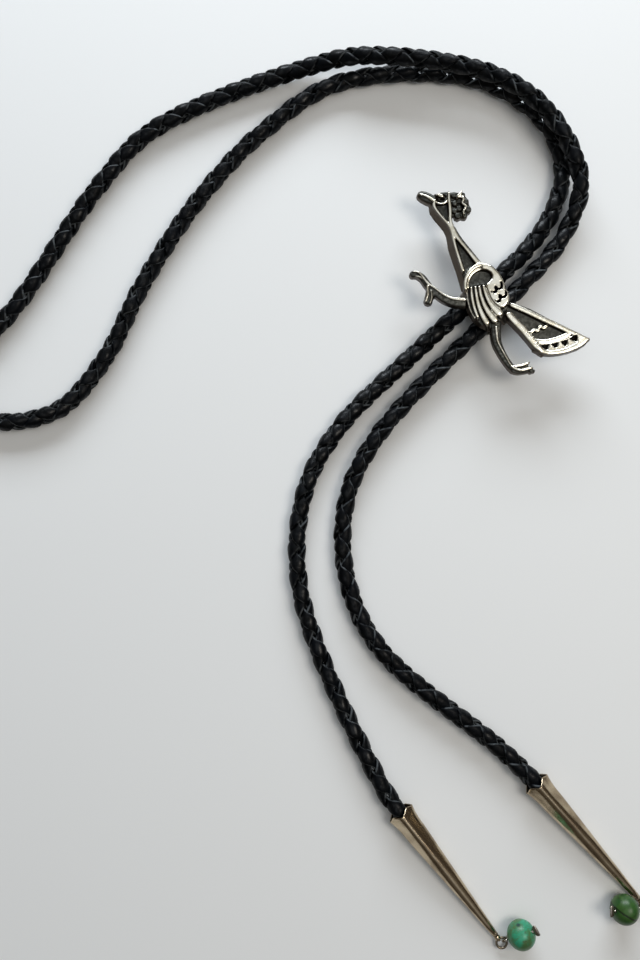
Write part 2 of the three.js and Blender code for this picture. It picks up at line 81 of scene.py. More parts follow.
# %% Walk the route
LYING = 2.8
CORD_THICK = 5.4
ROUTE_STEP = 0.5
ROUTE_WIDE, ROUTE_TALL = 178, 214
ROUTE = [
    (-0.1388, -0.6593, 0.111), (-0.168, -0.6248, 0.03), (-0.2933, -0.3799, 0),
    (-0.2888, -0.2509, 0), (-0.236, -0.165, 0), (-0.1056, -0.0565, 0.019),
    (0.0191, 0.0379, 0.167), (0.0742, 0.0832, 0.012), (0.1129, 0.1304, 0), (0.1331, 0.1897, 0),
    (0.1073, 0.2579, 0), (-0.0034, 0.3201, 0), (-0.2326, 0.3154, 0), (-0.3624, 0.2421, 0),
    (-0.4309, 0.1822, 0), (-0.4904, 0.1164, 0), (-0.5528, 0.029, 0), (-0.6084, -0.0673, 0),
    (-0.6792, -0.136, 0), (-0.7618, -0.1537, 0), (-0.7961, -0.1463, 0), (-0.8208, -0.1257, 0),
    (-0.8298, -0.0991, 0), (-0.8197, -0.0664, 0), (-0.7472, 0.0117, 0), (-0.6208, 0.1738, 0.009),
    (-0.536, 0.2495, 0), (-0.2747, 0.3374, 0.222), (-0.1843, 0.3411, 0.981),
    (0.0152, 0.3131, 1.13), (0.1045, 0.2593, 1.148), (0.1556, 0.1687, 0.796),
    (0.1331, 0.1014, 0.056), (0.0506, 0.0206, 0.13), (-0.1742, -0.1757, 0.005),
    (-0.2219, -0.2612, 0), (-0.2202, -0.3626, 0), (-0.1685, -0.4523, 0), (0.0157, -0.5785, 0.02),
    (0.0708, -0.6224, 0.111),
]
ENDS_IN_TIPS = [(-23.473, -142.663, 3.467), (13.929, -134.688, 3.467)]


def smooth_line(points, per_span=60):
    """Points along a centripetal Catmull-Rom curve through the given ones."""
    points = np.array(points, float)
    first = 2 * points[0] - points[1]
    last = 2 * points[-1] - points[-2]
    ring = np.vstack([first, points, last])
    line = []
    for k in range(1, len(ring) - 2):
        p = ring[k - 1 : k + 3]
        knots = np.concatenate([[0], np.cumsum(np.linalg.norm(np.diff(p, axis=0), axis=1) ** 0.5)])
        t = np.linspace(knots[1], knots[2], per_span, endpoint=False)[:, None]

        def mix(a, b, i, j):
            return (a * (knots[j] - t) + b * (t - knots[i])) / (knots[j] - knots[i])

        a1, a2, a3 = (mix(p[i], p[i + 1], i, i + 1) for i in range(3))
        b1, b2 = mix(a1, a2, 0, 2), mix(a2, a3, 1, 3)
        line.append(mix(b1, b2, 1, 2))
    return np.vstack([*line, points[-1:]])


def even_steps(line, step):
    """The same line, walked in even steps."""
    run = np.concatenate([[0], np.cumsum(np.linalg.norm(np.diff(line, axis=0), axis=1))])
    wanted = np.linspace(0, run[-1], max(2, round(run[-1] / step)) + 1)
    return np.stack([np.interp(wanted, run, line[:, i]) for i in range(3)], axis=1), wanted


route_points = [
    (x * ROUTE_WIDE, y * ROUTE_TALL, LYING + lift * CORD_THICK) for x, y, lift in ROUTE
]
route_points = [ENDS_IN_TIPS[0], *route_points, ENDS_IN_TIPS[1]]
cord_line, cord_run = even_steps(smooth_line(route_points), ROUTE_STEP)

# %% [markdown]
# ## The braid
# The cord is a round braid of four leather laces. Two wind to the left and two to the right, and
# where they meet they pass over and under each other in turn. A texture can't show that: the
# light catches every crossing, and the outline is scalloped. So each lace is a real strip that
# spirals round the route. Its distance from the middle swings out where it passes over and in
# where it passes under. Four crossings make up one turn. A lace is also widest where it passes
# over, it curls round the cord, and no two stretches of it are quite alike.

# %% Carry a frame along the route
def frames_along(line):
    """Two directions across the line at each of its points, that never spin about it."""
    along = np.gradient(line, axis=0)
    along /= np.linalg.norm(along, axis=1)[:, None]
    side = np.zeros_like(line)
    side[0] = np.cross((0, 0, 1), along[0])
    side[0] /= np.linalg.norm(side[0])
    for k in range(1, len(line)):
        carried = side[k - 1] - along[k] * np.dot(side[k - 1], along[k])
        side[k] = carried / np.linalg.norm(carried)
    return along, side, np.cross(along, side)


cord_along, cord_side, cord_up = frames_along(cord_line)
print("frames carried:", len(cord_along))

# %% Braid four laces
TURN_LONG = 16.0
LACE_MIDDLE = 1.5
LACE_SWING = 0.56
LACE_THICK = 1.1
LACE_WIDE_OVER = 4.0
LACE_WIDE_UNDER = 2.8
LACE_CURL = 0.16
LACE_UNEVEN = 0.03
TWIST_PER_MM = 0.0045
# a lace's section: across its width and outwards, as shares of half its width and thickness
LACE_SECTION = np.array(
    [(-1, -0.4), (-0.95, 0.4), (-0.82, 0.72), (-0.42, 0.95), (0, 1), (0.42, 0.95),
     (0.82, 0.72), (0.95, 0.4), (1, -0.4), (0.6, -0.9), (-0.6, -0.9)]
)


def lace(start, hand):
    """Points and faces of one lace. hand is 1 for one winding direction and -1 for the other."""
    rng = np.random.default_rng(7 + int(start * 10) + (3 if hand < 0 else 0))
    turn = hand * 2 * math.pi * cord_run / TURN_LONG + start
    over = hand * np.cos(2 * turn)
    wander = np.convolve(rng.normal(0, 1, len(turn) + 24), np.hanning(25) / 12, "valid")
    radius = LACE_MIDDLE + LACE_SWING * over
    wide = np.interp(over, [-1, 1], [LACE_WIDE_UNDER, LACE_WIDE_OVER]) * (1 + LACE_UNEVEN * wander)
    place = turn + TWIST_PER_MM * cord_run + LACE_UNEVEN * wander
    out = np.cos(place)[:, None] * cord_side + np.sin(place)[:, None] * cord_up
    middle = cord_line + out * radius[:, None]
    along = np.gradient(middle, axis=0)
    along /= np.linalg.norm(along, axis=1)[:, None]
    face = out - along * np.sum(out * along, axis=1)[:, None]
    face /= np.linalg.norm(face, axis=1)[:, None]
    across = np.cross(face, along)
    rows = []
    for a, b in LACE_SECTION:
        sag = LACE_CURL * (a * wide / 2) ** 2 / np.maximum(radius + LACE_THICK / 2, 1.2)
        rise = b * LACE_THICK / 2 - sag
        rows.append(middle + across * (a * wide / 2)[:, None] + face * rise[:, None])
    points = np.stack(rows, axis=1)
    count, sides = points.shape[:2]
    ring = np.arange(sides)
    quads = []
    for k in range(count - 1):
        a = k * sides + ring
        b = k * sides + (ring + 1) % sides
        quads.append(np.stack([a, a + sides, b + sides, b], axis=1))
    faces = np.vstack(quads).tolist()
    faces.append(list(range(sides)))
    faces.append([(count - 1) * sides + i for i in reversed(range(sides))])
    return points.reshape(-1, 3), faces


def mesh_piece(name, points, faces):
    """A new object from points in millimetres and faces."""
    mesh = bpy.data.meshes.new(name)
    mesh.from_pydata((np.array(points) * MM).tolist(), [], faces)
    mesh.validate()
    mesh.update()
    piece = bpy.data.objects.new(name, mesh)
    scene.collection.objects.link(piece)
    return piece


all_points, all_faces, all_edges, all_along = [], [], [], []
for start, hand in [(0, 1), (math.pi, 1), (0, -1), (math.pi, -1)]:
    points, faces = lace(start, hand)
    shift = sum(len(p) for p in all_points)
    all_points.append(points)
    all_faces += [[i + shift for i in face] for face in faces]
    all_edges += [abs(a) for a, b in LACE_SECTION] * len(cord_line)
    all_along.append(np.repeat(cord_run, len(LACE_SECTION)))
braid = mesh_piece("braid", np.vstack(all_points), all_faces)
edge_mark = braid.data.attributes.new("lace_edge", "FLOAT", "POINT")
edge_mark.data.foreach_set("value", np.array(all_edges, np.float32))
braid.data.polygons.foreach_set("use_smooth", [True] * len(braid.data.polygons))
print("braid triangles:", sum(len(p.vertices) - 2 for p in braid.data.polygons))

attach(braid, "root")
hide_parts("braided_cord")
[v * MM for v in route_points[1]]

# %% [markdown]
# ## Shader maths in plain Python
# A material is a net of nodes. Wrapping a socket in a small class with its own plus, minus and
# times lets a formula be written as a formula, and each operator adds the Math node that a hand
# would have dragged in. Colours and directions go through their own nodes, because a Math node
# would turn them grey. Every other node comes from one method that takes its type, its settings
# and its inputs.

# %% The socket class and the material class
def number_or_socket(value):
    return value.out if isinstance(value, Value) else value


class Value:
    """One number that varies over a surface."""

    def __init__(self, paint, out):
        self.paint = paint
        self.out = out

    def maths(self, operation, *others, clamp=False):
        inputs = dict(enumerate([self, *others]))
        return self.paint.node(
            "ShaderNodeMath", {"operation": operation, "use_clamp": clamp}, inputs
        )

    def __add__(self, other):
        return self.maths("ADD", other)

    def __sub__(self, other):
        return self.maths("SUBTRACT", other)

    def __mul__(self, other):
        return self.maths("MULTIPLY", other)

    def __rsub__(self, other):
        return (self * -1.0) + other

    __radd__ = __add__
    __rmul__ = __mul__

    def between(self, low, high, soft=True):
        """0 below low and 1 above high, with a soft step between them."""
        kind = "SMOOTHSTEP" if soft else "LINEAR"
        settings = {"interpolation_type": kind}
        return self.paint.node("ShaderNodeMapRange", settings, {0: self, 1: low, 2: high})


class Paint:
    """One material, built from its Principled BSDF outwards."""

    def __init__(self, name, **sockets):
        self.material = bpy.data.materials.new(name)
        self.material.use_nodes = True
        self.tree = self.material.node_tree
        self.shader = self.tree.nodes["Principled BSDF"]
        self.place = self.node("ShaderNodeTexCoord", out="Object")
        self.set(**sockets)

    def node(self, kind, settings=None, inputs=None, out=0):
        node = self.tree.nodes.new(kind)
        for key, value in (settings or {}).items():
            setattr(node, key, value)
        for key, value in (inputs or {}).items():
            source = number_or_socket(value)
            if isinstance(source, bpy.types.NodeSocket):
                self.tree.links.new(source, node.inputs[key])
            else:
                node.inputs[key].default_value = source
        return Value(self, node.outputs[out])

    def set(self, **sockets):
        """Sets or links the shader's sockets. base_color=... means Base Color."""
        for name, value in sockets.items():
            socket = self.shader.inputs[name.replace("_", " ").title().replace("Ior", "IOR")]
            source = number_or_socket(value)
            if isinstance(source, bpy.types.NodeSocket):
                self.tree.links.new(source, socket)
            else:
                socket.default_value = source

    def noise(self, per_mm, detail=3.0, roughness=0.5, at=None):
        inputs = {
            "Vector": at or self.place,
            "Scale": per_mm / MM,
            "Detail": detail,
            "Roughness": roughness,
        }
        return self.node("ShaderNodeTexNoise", None, inputs)

    def attribute(self, name):
        return self.node("ShaderNodeAttribute", {"attribute_name": name}, out="Fac")

    def mix(self, share, first, second):
        """A colour between two colours."""
        return self.node(
            "ShaderNodeMix", {"data_type": "RGBA"}, {0: share, 6: first, 7: second}, out=2
        )

    def bump(self, height, distance_mm, strength=1.0):
        inputs = {"Height": height, "Distance": distance_mm * MM, "Strength": strength}
        self.set(normal=self.node("ShaderNodeBump", None, inputs))

    def on(self, piece):
        piece.data.materials.clear()
        piece.data.materials.append(self.material)


def colour(red, green, blue):
    return (red, green, blue, 1.0)


print("shader classes ready")

# %% [markdown]
# ## Black leather
# The laces are smooth, dyed leather. Dyed leather is dark but not dead: it has a soft sheen, a
# fine grain and little creases, and the cut edge of a lace is paler and duller where the dye
# has worn. That paler, bluish edge is also a painted highlight, for the light that the rounded
# edges catch. The braid carries an attribute that is 0 on the middle of a lace and 1 on its edge,
# and the paler edge follows that, broken up by a noise so that it looks worn. Where the laces
# rub, their middles are polished: a thin, bluish coat lies there, in patches.

# %% Paint the braid
leather = Paint("black leather", specular_ior_level=0.08, coat_roughness=0.24, coat_ior=1.5)
leather.set(coat_tint=colour(0.85, 0.92, 1.0))
grain = leather.noise(2.6, detail=4.0, roughness=0.6)
creases = leather.node(
    "ShaderNodeTexVoronoi", {"feature": "DISTANCE_TO_EDGE"},
    {"Vector": leather.place, "Scale": 1.3 / MM},
)
patches = leather.noise(0.22, detail=2.0)
edge = leather.attribute("lace_edge")
# pale cut edges: partly worn dye, partly a painted highlight where the rounded edges catch the light
worn_and_glinting = edge.between(0.88, 0.97) * leather.noise(0.4, detail=3.0).between(0.42, 0.62)
rubbed = (1 - edge.between(0.25, 0.8)) * leather.noise(0.7, detail=3.0).between(0.42, 0.62)
DEEP_DYE, THIN_DYE = colour(0.0012, 0.0016, 0.002), colour(0.0026, 0.0035, 0.005)
# the cut edges' pale bluish colour, worn leather and painted highlight in one
CUT_EDGE_AND_GLINT = colour(0.085, 0.094, 0.10)
dyed = leather.mix(patches.between(0.3, 0.7), DEEP_DYE, THIN_DYE)
leather.set(
    base_color=leather.mix(worn_and_glinting * 0.75, dyed, CUT_EDGE_AND_GLINT),
    roughness=0.3 + grain * 0.14 + worn_and_glinting * 0.25,
    coat_weight=rubbed * 0.35,
)
leather.bump(grain * 0.5 + creases.between(0.0, 0.1) * 0.5, 0.05, 0.55)
leather.on(braid)
print("braid painted")

# %% [markdown]
# ## The cast silver bird
# The slide is one piece of cast silver: a running bird with a long split neck, a curled wing
# with feather bars, and a wedge of a tail. A caster would carve it in wax or soft stone as
# low plates, lay thinner rails on them, and let the metal melt everything into one. It could
# be made here as one height map, but then its walls would be smeared. Instead it is built as
# the caster builds it: plates are outlines extruded upwards, rails are bezier curves with a
# domed section, and a fine voxel remesh melts them together. Lobes are small round plates, for
# the ends of toes and the scalloped crest. Heights are measured from the slide's flat back.

# %% Outlines of the plates and lines of the rails, in millimetres
SLIDE_BACK = 7.5
# name: (height, corners)
PLATES = {
    "beak": (2.5, [(-19.45, 30.95), (-19.04, 31.77), (-18.16, 32.17), (-16.89, 32),
        (-15.49, 31.36), (-13.94, 30.43), (-13.81, 29.49), (-14.95, 28.45), (-15.52, 28.04),
        (-16.93, 28.62), (-18.33, 29.38), (-19.23, 30.19)]),
    "head": (1.7, [(-14.85, 28.76), (-14.28, 29.92), (-13.55, 31.24), (-12.55, 31.88),
        (-11.28, 31.97), (-10.28, 32.03), (-9.44, 31.39), (-9.33, 28.76), (-9.37, 25.26),
        (-9.54, 23.22), (-9.98, 21.77), (-10.82, 22.64), (-12.07, 24.1), (-13.33, 25.7),
        (-14.3, 27.15)]),
    "neck flank": (2.6, [(-15.03, 27.97), (-14.65, 26.52), (-13.42, 24.75), (-12.09, 23.18),
        (-10.81, 21.45), (-10.05, 19.71), (-9.73, 17.98), (-9.47, 15.96), (-8.77, 13.65),
        (-8.01, 11.35), (-7.26, 9.05), (-6.61, 6.76), (-6.25, 4.46), (-5.41, 4.46), (-5.83, 6.76),
        (-6.47, 9.05), (-7.11, 11.35), (-7.98, 14.23), (-8.62, 16.53), (-8.94, 18.27),
        (-9.03, 19.71), (-10.13, 21.73), (-11.63, 23.65), (-12.97, 25.27), (-14.02, 26.95),
        (-14.4, 28.12)]),
    "neck": (1.9, [(-9.87, 21.7), (-8.85, 21.99), (-7.74, 19.96), (-6.42, 17.93), (-4.75, 15.79),
        (-3.04, 13.59), (-1.38, 11.46), (-2.42, 9.85), (-5.25, 8.12), (-6.55, 8), (-7.51, 11.58),
        (-8.43, 14.92), (-9.18, 17.93)]),
    "crest": (1.6, [(-9.99, 31.83), (-8.85, 32.07), (-7.72, 31.78), (-6.3, 31.89), (-5.75, 30.84),
        (-4.74, 29.67), (-4.65, 28.5), (-4.1, 27.16), (-4.4, 26.17), (-5.14, 25.41),
        (-5.66, 24.54), (-6.97, 24.19), (-8.38, 24.42), (-9.33, 25.12), (-9.75, 28.21)]),
    "shoulder": (4.1, [(-1.93, 10.75), (-0.54, 10.69), (0.85, 10.12), (2.06, 9.09), (3.21, 7.84),
        (4.02, 6.41), (4.56, 4.99), (4.81, 3.62), (5.46, 2.71), (5.83, 1.46), (5.8, -0.13),
        (5.17, -1.27), (4.27, -2.06), (3.27, -2.06), (2.34, -1.38), (1.35, -0.36), (0.59, 0.89),
        (0.06, 2.2), (-0.37, 3.34), (-0.52, 4.53), (0.33, 5.44), (1.07, 6.35), (1.19, 7.27),
        (0.71, 8.12), (-0.29, 8.69), (-1.68, 8.86)]),
    "body": (2.2, [(-6.26, 7.45), (-5.57, 9.18), (-3.86, 10.67), (-1.6, 11.31), (1.2, 10.73),
        (3.58, 8.43), (5.2, 4.58), (6.21, 1.72), (5.95, -0.57), (4.9, -3.14), (3.57, -5.42),
        (2.04, -6.67), (0.08, -7.3), (-1.86, -6.44), (-3.63, -4.73), (-4.89, -2.57), (-5.69, 0),
        (-6.21, 2.86)]),
    "left web": (2, [(-16.54, 4.93), (-14.87, 4.07), (-13.2, 2.81), (-12.65, 1.66), (-14.33, 1.6),
        (-15.46, 0.92), (-16.56, 2.64)]),
    "foot": (2, [(6.63, -18.14), (7.48, -17.74), (9.15, -17.57), (10.55, -17.06), (11.39, -16.89),
        (11.61, -17.4), (10.81, -18.14), (12.09, -18.25), (12.47, -18.99), (13.13, -19.32),
        (12.89, -20), (11.06, -19.89), (8.82, -20.17), (6.89, -19.66)]),
    "tail": (1.9, [(5.27, -1.06), (6.69, -0.08), (8.37, -0.49), (11.98, -1.86), (16.97, -4.54),
        (20.3, -6.14), (24.44, -8.19), (28.48, -10.29), (28.58, -10.69), (27.14, -12.22),
        (25.16, -13.42), (22.35, -14.38), (18.99, -14.95), (16.19, -15), (14.41, -14.95),
        (13.32, -13.87), (9.05, -8.87), (4.93, -4.48)]),
    "tooth band": (3.3, [(13.7, -11.93), (15.92, -12.1), (17.87, -11.76), (20.11, -11.08),
        (22.35, -10.23), (24.6, -9.38), (26.5, -11.08), (24.23, -13.23), (21.71, -14.07),
        (18.65, -14.52), (16.15, -14.41), (14.51, -13.48)]),
    "tail tip": (3.5, [(23.72, -9.15), (25.92, -10), (27.96, -10.76), (26.59, -12.09),
        (24.45, -13.33), (22.78, -13.78), (24.19, -12.65), (25, -11.13)]),
}
# name: (height, points of (x, y, width))
WIRES = {
    "beak ridge": (3.3, [(-18.68, 30.83, 0.36), (-17.14, 30.34, 0.52), (-15.74, 29.59, 0.74),
        (-14.59, 28.77, 0.9)]),
    "throat rail": (3.5, [(-14.56, 28.75, 0.82), (-14.77, 27.65, 0.82), (-14.25, 26.38, 0.66),
        (-13.14, 24.82, 0.6), (-11.81, 23.2, 0.63), (-10.65, 21.81, 0.77), (-9.94, 20.4, 0.93),
        (-9.51, 18.81, 0.88), (-9.22, 17.09, 0.77), (-8.77, 15.22, 0.77), (-8.15, 13.06, 0.8),
        (-7.51, 10.91, 0.85), (-6.89, 8.91, 0.9)]),
    "nape rail": (3.6, [(-10.56, 30.86, 0.6), (-10.52, 29.18, 0.66), (-10.34, 27.44, 0.88),
        (-10.25, 25.41, 0.82), (-10.25, 23.68, 0.8), (-9.96, 21.83, 1.18), (-9.36, 20.22, 1.32),
        (-8.62, 18.72, 1.18), (-7.63, 17.22, 0.88), (-6.26, 15.5, 0.88), (-4.88, 13.78, 0.99),
        (-3.62, 12.17, 1.21), (-2.41, 10.74, 1.43)]),
    "eye rim": (3.2, [(-14.36, 28.75, 0.47), (-13.52, 28.17, 0.41), (-12.51, 28.06, 0.41),
        (-11.49, 28.41, 0.41), (-10.75, 29.16, 0.47)]),
    "eye ring": (2.5, [(-11.05, 30.47, 0.41), (-11.59, 31.04, 0.41), (-12.43, 31.17, 0.41),
        (-13.17, 30.8, 0.41), (-13.47, 30.1, 0.41), (-13.18, 29.41, 0.41), (-12.45, 29.04, 0.41),
        (-11.61, 29.17, 0.41), (-11.06, 29.74, 0.41), (-11.05, 30.47, 0.41)]),
    "eye": (3.6, [(-13.21, 30.4, 0.93), (-12.59, 30.16, 0.93)]),
    "crest wedge": (3.5, [(-7.79, 30.2, 0.93), (-7.33, 30.78, 0.88), (-6.99, 31.48, 0.41)]),
    "crest line": (3.4, [(-7.27, 30.01, 0.71), (-6.43, 29.78, 0.69), (-6.5, 29.02, 0.63),
        (-6.73, 28.33, 0.6), (-6.23, 27.75, 0.58), (-5.73, 27.34, 0.58), (-6.02, 26.59, 0.55),
        (-6.37, 26.01, 0.52), (-6.43, 25.2, 0.47)]),
    "curl rim": (3.9, [(-6.27, 3.51, 0.77), (-6.31, 4.76, 0.85), (-6.09, 6.19, 0.9),
        (-5.46, 7.67, 0.96), (-4.44, 8.93, 1.01), (-3.14, 9.84, 1.1), (-1.79, 10.18, 1.21),
        (-0.4, 9.96, 1.43)]),
    "curl inner rim": (3.5, [(-5.5, 3.8, 0.47), (-5.54, 4.94, 0.52), (-5.31, 6.02, 0.58),
        (-4.67, 7.28, 0.63), (-3.54, 8.42, 0.69), (-2.13, 9.11, 0.71), (-0.57, 9.23, 0.71)]),
    "breast border": (2.8, [(-5.79, 3.66, 0.52), (-5.65, 1.55, 0.52), (-5.29, -0.73, 0.52),
        (-4.59, -3.01, 0.52), (-3.72, -4.61, 0.47)]),
    "feather 1": (3.5, [(-4.61, 3.63, 0.55), (-4.5, 1.92, 0.74), (-4.22, -0.08, 0.82),
        (-3.72, -2.21, 0.82), (-3, -4.34, 0.71)]),
    "feather 2": (3.6, [(-3.46, 3.77, 0.6), (-3.26, 2.17, 0.8), (-2.95, 0.18, 0.96),
        (-2.34, -2.09, 1.18), (-1.4, -4.36, 1.45), (-0.48, -6.01, 1.51)]),
    "feather 3": (3.7, [(-2.33, 3.85, 0.69), (-2.07, 2.14, 0.88), (-1.52, 0.15, 1.04),
        (-0.6, -2.01, 1.32), (0.75, -4.05, 1.75), (1.68, -5.18, 1.89)]),
    "feather 4": (3.8, [(-1.14, 3.99, 0.71), (-0.75, 2.4, 0.88), (-0.03, 0.52, 1.07),
        (1, -1.24, 1.45), (2.26, -2.66, 2.03), (2.86, -3.23, 2.25)]),
    "left leg": (2.6, [(-6.03, -0.11, 3.02), (-8.27, 0.01, 2.91), (-10.22, 0.4, 2.69),
        (-11.89, 1.03, 2.41), (-13.28, 1.89, 2.25), (-14.56, 2.92, 2.14), (-15.78, 3.95, 2.08),
        (-16.89, 5.27, 2.03), (-17.82, 6.64, 1.97), (-18.55, 7.39, 1.92)]),
    "left leg ridge": (3.05, [(-6.54, 0.56, 0.88), (-8.32, 0.68, 0.82), (-10, 0.96, 0.71),
        (-11.66, 1.65, 0.55), (-13.33, 2.73, 0.49), (-14.71, 3.82, 0.49), (-15.94, 4.67, 0.58),
        (-16.71, 5.3, 0.69), (-17.6, 6.39, 0.55), (-18.48, 7.59, 0.49), (-19.42, 8.39, 0.44),
        (-20.43, 8.51, 0.44)]),
    "upper toe ridge": (2.85, [(-18.13, 6.51, 0.36), (-18.97, 7.02, 0.38), (-19.86, 7.19, 0.38)]),
    "left lower toe": (2.6, [(-15.78, 3.72, 2.19), (-15.96, 2.75, 2.36), (-16.14, 1.49, 2.41)]),
    "lower toe ridge a": (3, [(-16.71, 4.46, 0.63), (-16.73, 3.2, 0.55), (-16.68, 2.06, 0.49),
        (-16.97, 0.92, 0.47), (-17.32, 0.06, 0.41)]),
    "lower toe ridge b": (2.85, [(-15.76, 3.07, 0.41), (-15.61, 1.82, 0.41), (-15.67, 0.68, 0.44),
        (-16.07, -0.35, 0.44)]),
    "right leg": (2.6, [(2.32, -5.81, 3.15), (2.28, -8.08, 2.91), (2.36, -10.06, 2.74),
        (2.72, -11.93, 2.52), (3.63, -14.08, 2.25), (4.98, -16.57, 2.03), (6.23, -18.38, 1.92)]),
    "right leg ridge": (3, [(2.27, -7.5, 0.77), (2.41, -9.31, 0.69), (2.61, -11.01, 0.63),
        (3.19, -12.54, 0.49), (4.16, -14.4, 0.44), (5.19, -16.32, 0.41), (6.16, -17.95, 0.47),
        (6.81, -18.63, 0.52)]),
    "upper toe": (3.3, [(7.09, -18.41, 0.6), (8.03, -18.3, 0.63), (9.14, -18.13, 0.66),
        (10.15, -17.79, 0.63), (10.82, -17.48, 0.55)]),
    "middle toe": (3.4, [(6.62, -18.71, 0.58), (7.44, -19.16, 0.63), (8.54, -19.5, 0.63),
        (9.76, -19.44, 0.63), (10.88, -19.11, 0.63), (11.6, -18.91, 0.55)]),
    "under toe": (2.5, [(6.79, -19.54, 1.15), (8.17, -19.88, 1.15), (9.56, -19.82, 1.04),
        (10.95, -19.6, 1.04)]),
    "tail upper rail": (3.5, [(6.8, -1.16, 1.26), (8.84, -2.04, 1.37), (11.6, -3.32, 1.4),
        (14.36, -4.71, 1.4), (17.11, -6.01, 1.4), (19.87, -7.31, 1.4), (22.62, -8.64, 1.4),
        (25.37, -9.89, 1.26), (27.24, -10.68, 0.71)]),
    "tail lower rail": (3.6, [(5.84, -3.97, 1.65), (7.26, -5.55, 1.89), (9.96, -8.38, 2.08),
        (12.1, -11.1, 2.08), (13.23, -12.56, 2.03), (13.99, -13.41, 1.54)]),
    "tail end rim": (3.5, [(14.62, -14.01, 1.43), (16.38, -14.6, 1.12), (18.6, -14.57, 1.18),
        (21.1, -14.09, 1.29), (23.34, -13.22, 1.48), (25.2, -12.26, 1.7), (26.55, -11.35, 1.43),
        (27.4, -10.82, 0.66)]),
    "tail bar": (3.4, [(13.14, -11.27, 1.18), (15.63, -11.47, 1.23), (17.73, -11.1, 1.23),
        (19.82, -10.43, 1.23), (21.51, -9.75, 1.23), (22.46, -9.3, 1.15)]),
    "tail steps": (3.1, [(12.03, -8.83, 0.85), (12.71, -8.17, 0.8), (13.88, -8.34, 0.8),
        (14.17, -7.47, 0.74), (14.79, -7.07, 0.74), (15.34, -7.64, 0.74), (16.19, -7.07, 0.74)]),
}
# name: (height of the floor, corners)
CUTS = {
    "shoulder mark 1": (2.4, [(0.54, 2.77), (1.15, 2.54), (1.85, 2.77), (1.64, 3.59),
        (1.76, 4.25), (2.29, 4.08), (2.83, 3.45), (3.34, 3.73), (3.44, 4.59), (3.28, 5.27),
        (3.62, 5.5), (4.06, 5.01), (4.15, 4.02), (3.97, 3.22), (3.38, 2.94), (2.68, 2.88),
        (2.34, 2.14), (1.55, 1.86), (0.86, 2.14)]),
    "shoulder mark 2": (2.4, [(1.53, 0.27), (2.22, -0.02), (2.97, 0.24), (2.77, 1.03),
        (2.83, 1.86), (3.39, 1.69), (3.94, 1.18), (4.55, 1.46), (4.68, 2.31), (4.52, 2.94),
        (4.97, 2.99), (5.29, 2.31), (5.25, 1.32), (4.82, 0.66), (3.98, 0.44), (3.56, 0.27),
        (3.35, -0.53), (2.62, -0.81), (1.96, -0.47)]),
    "tooth 1": (2.3, [(14.19, -12.47), (17.03, -12.18), (16.45, -13.68), (15.89, -13.9),
        (15.23, -13.45)]),
    "tooth 2": (2.3, [(17.31, -12.1), (19.6, -11.59), (19.01, -13.11), (18.45, -13.34),
        (17.85, -12.89)]),
    "tooth 3": (2.3, [(19.88, -11.48), (22.12, -10.8), (21.8, -12.44), (21.24, -12.78),
        (20.53, -12.32)]),
    "tooth 4": (2.3, [(22.4, -10.74), (23.36, -9.95), (24.54, -9.5), (24.8, -10.23),
        (24.55, -11.36), (23.83, -11.53), (23.17, -11.25)]),
    "file mark 1": (3.25, [(10.61, -9.29), (10.49, -9.14), (11.45, -8.27), (11.58, -8.42)]),
    "file mark 2": (3.25, [(11.21, -9.97), (11.09, -9.82), (12.05, -8.95), (12.17, -9.1)]),
    "file mark 3": (3.25, [(11.75, -10.64), (11.63, -10.5), (12.59, -9.63), (12.72, -9.77)]),
    "file mark 4": (3.25, [(12.3, -11.38), (12.17, -11.23), (13.13, -10.36), (13.26, -10.51)]),
    "file mark 5": (3.25, [(12.78, -12.11), (12.65, -11.97), (13.62, -11.1), (13.74, -11.24)]),
    "file mark 6": (3.25, [(13.27, -12.85), (13.14, -12.7), (14.1, -11.83), (14.23, -11.98)]),
}
# lobes: (x, y, height, radius)
LOBES = [
    (-9.09, 30.81, 2.4, 0.77), (-6.39, 30.95, 2.5, 0.63), (-5.63, 29.03, 2.5, 0.85),
    (-5.04, 26.7, 2.5, 0.96), (-6.12, 25, 2.4, 0.93), (-7.94, 24.79, 2.5, 0.93),
    (-8.92, 26.28, 2.4, 0.77), (-8.85, 28.45, 2.5, 0.85), (-7.42, 29.07, 2.4, 0.69),
    (-7.52, 26.99, 2.5, 0.88), (-18.54, 7.36, 2.5, 0.96), (-19.2, 7.82, 2.5, 0.96),
    (-19.99, 8.05, 2.5, 0.96), (-20.72, 7.99, 2.5, 0.93), (-16.18, 1.35, 2.5, 1.21),
    (-16.42, 0.43, 2.5, 1.18), (6.36, -18.41, 2.5, 0.96), (7.01, -19.2, 2.5, 0.88),
    (11.9, -19.54, 2.5, 0.63),
]

# %% [markdown]
# A plate starts as a filled circle with as many corners as its outline. Its corners are put in
# their places, and its face is extruded down. The foot of the wall is spread a little, as a wax
# model's is, so that it leaves its mould. Domed plates also get a wide bevel round the top.

# %% Cut the plates
def deselect():
    bpy.ops.object.select_all(action="DESELECT")


def edit(piece, mode="FACE"):
    """Opens one piece in edit mode, with nothing in it selected."""
    deselect()
    bpy.context.view_layer.objects.active = piece
    piece.select_set(True)
    bpy.ops.object.mode_set(mode="EDIT")
    bpy.ops.mesh.select_mode(type=mode)
    bpy.ops.mesh.select_all(action="DESELECT")
    return bmesh.from_edit_mesh(piece.data)


def done(piece):
    bpy.ops.object.mode_set(mode="OBJECT")
    return piece


def spread(outline, by):
    """The outline's corners, each moved outwards by about this much."""
    wider = []
    for k, corner in enumerate(outline):
        before, here, after = (Vector(outline[(k + i) % len(outline)]) for i in (-1, 0, 1))
        along = (here - before).normalized() + (after - here).normalized()
        wider.append(here + Vector((along.y, -along.x)).normalized() * by)
    area = sum(a[0] * b[1] - b[0] * a[1] for a, b in zip(outline, outline[1:] + outline[:1]))
    return wider if area > 0 else spread(outline[::-1], by)[::-1]


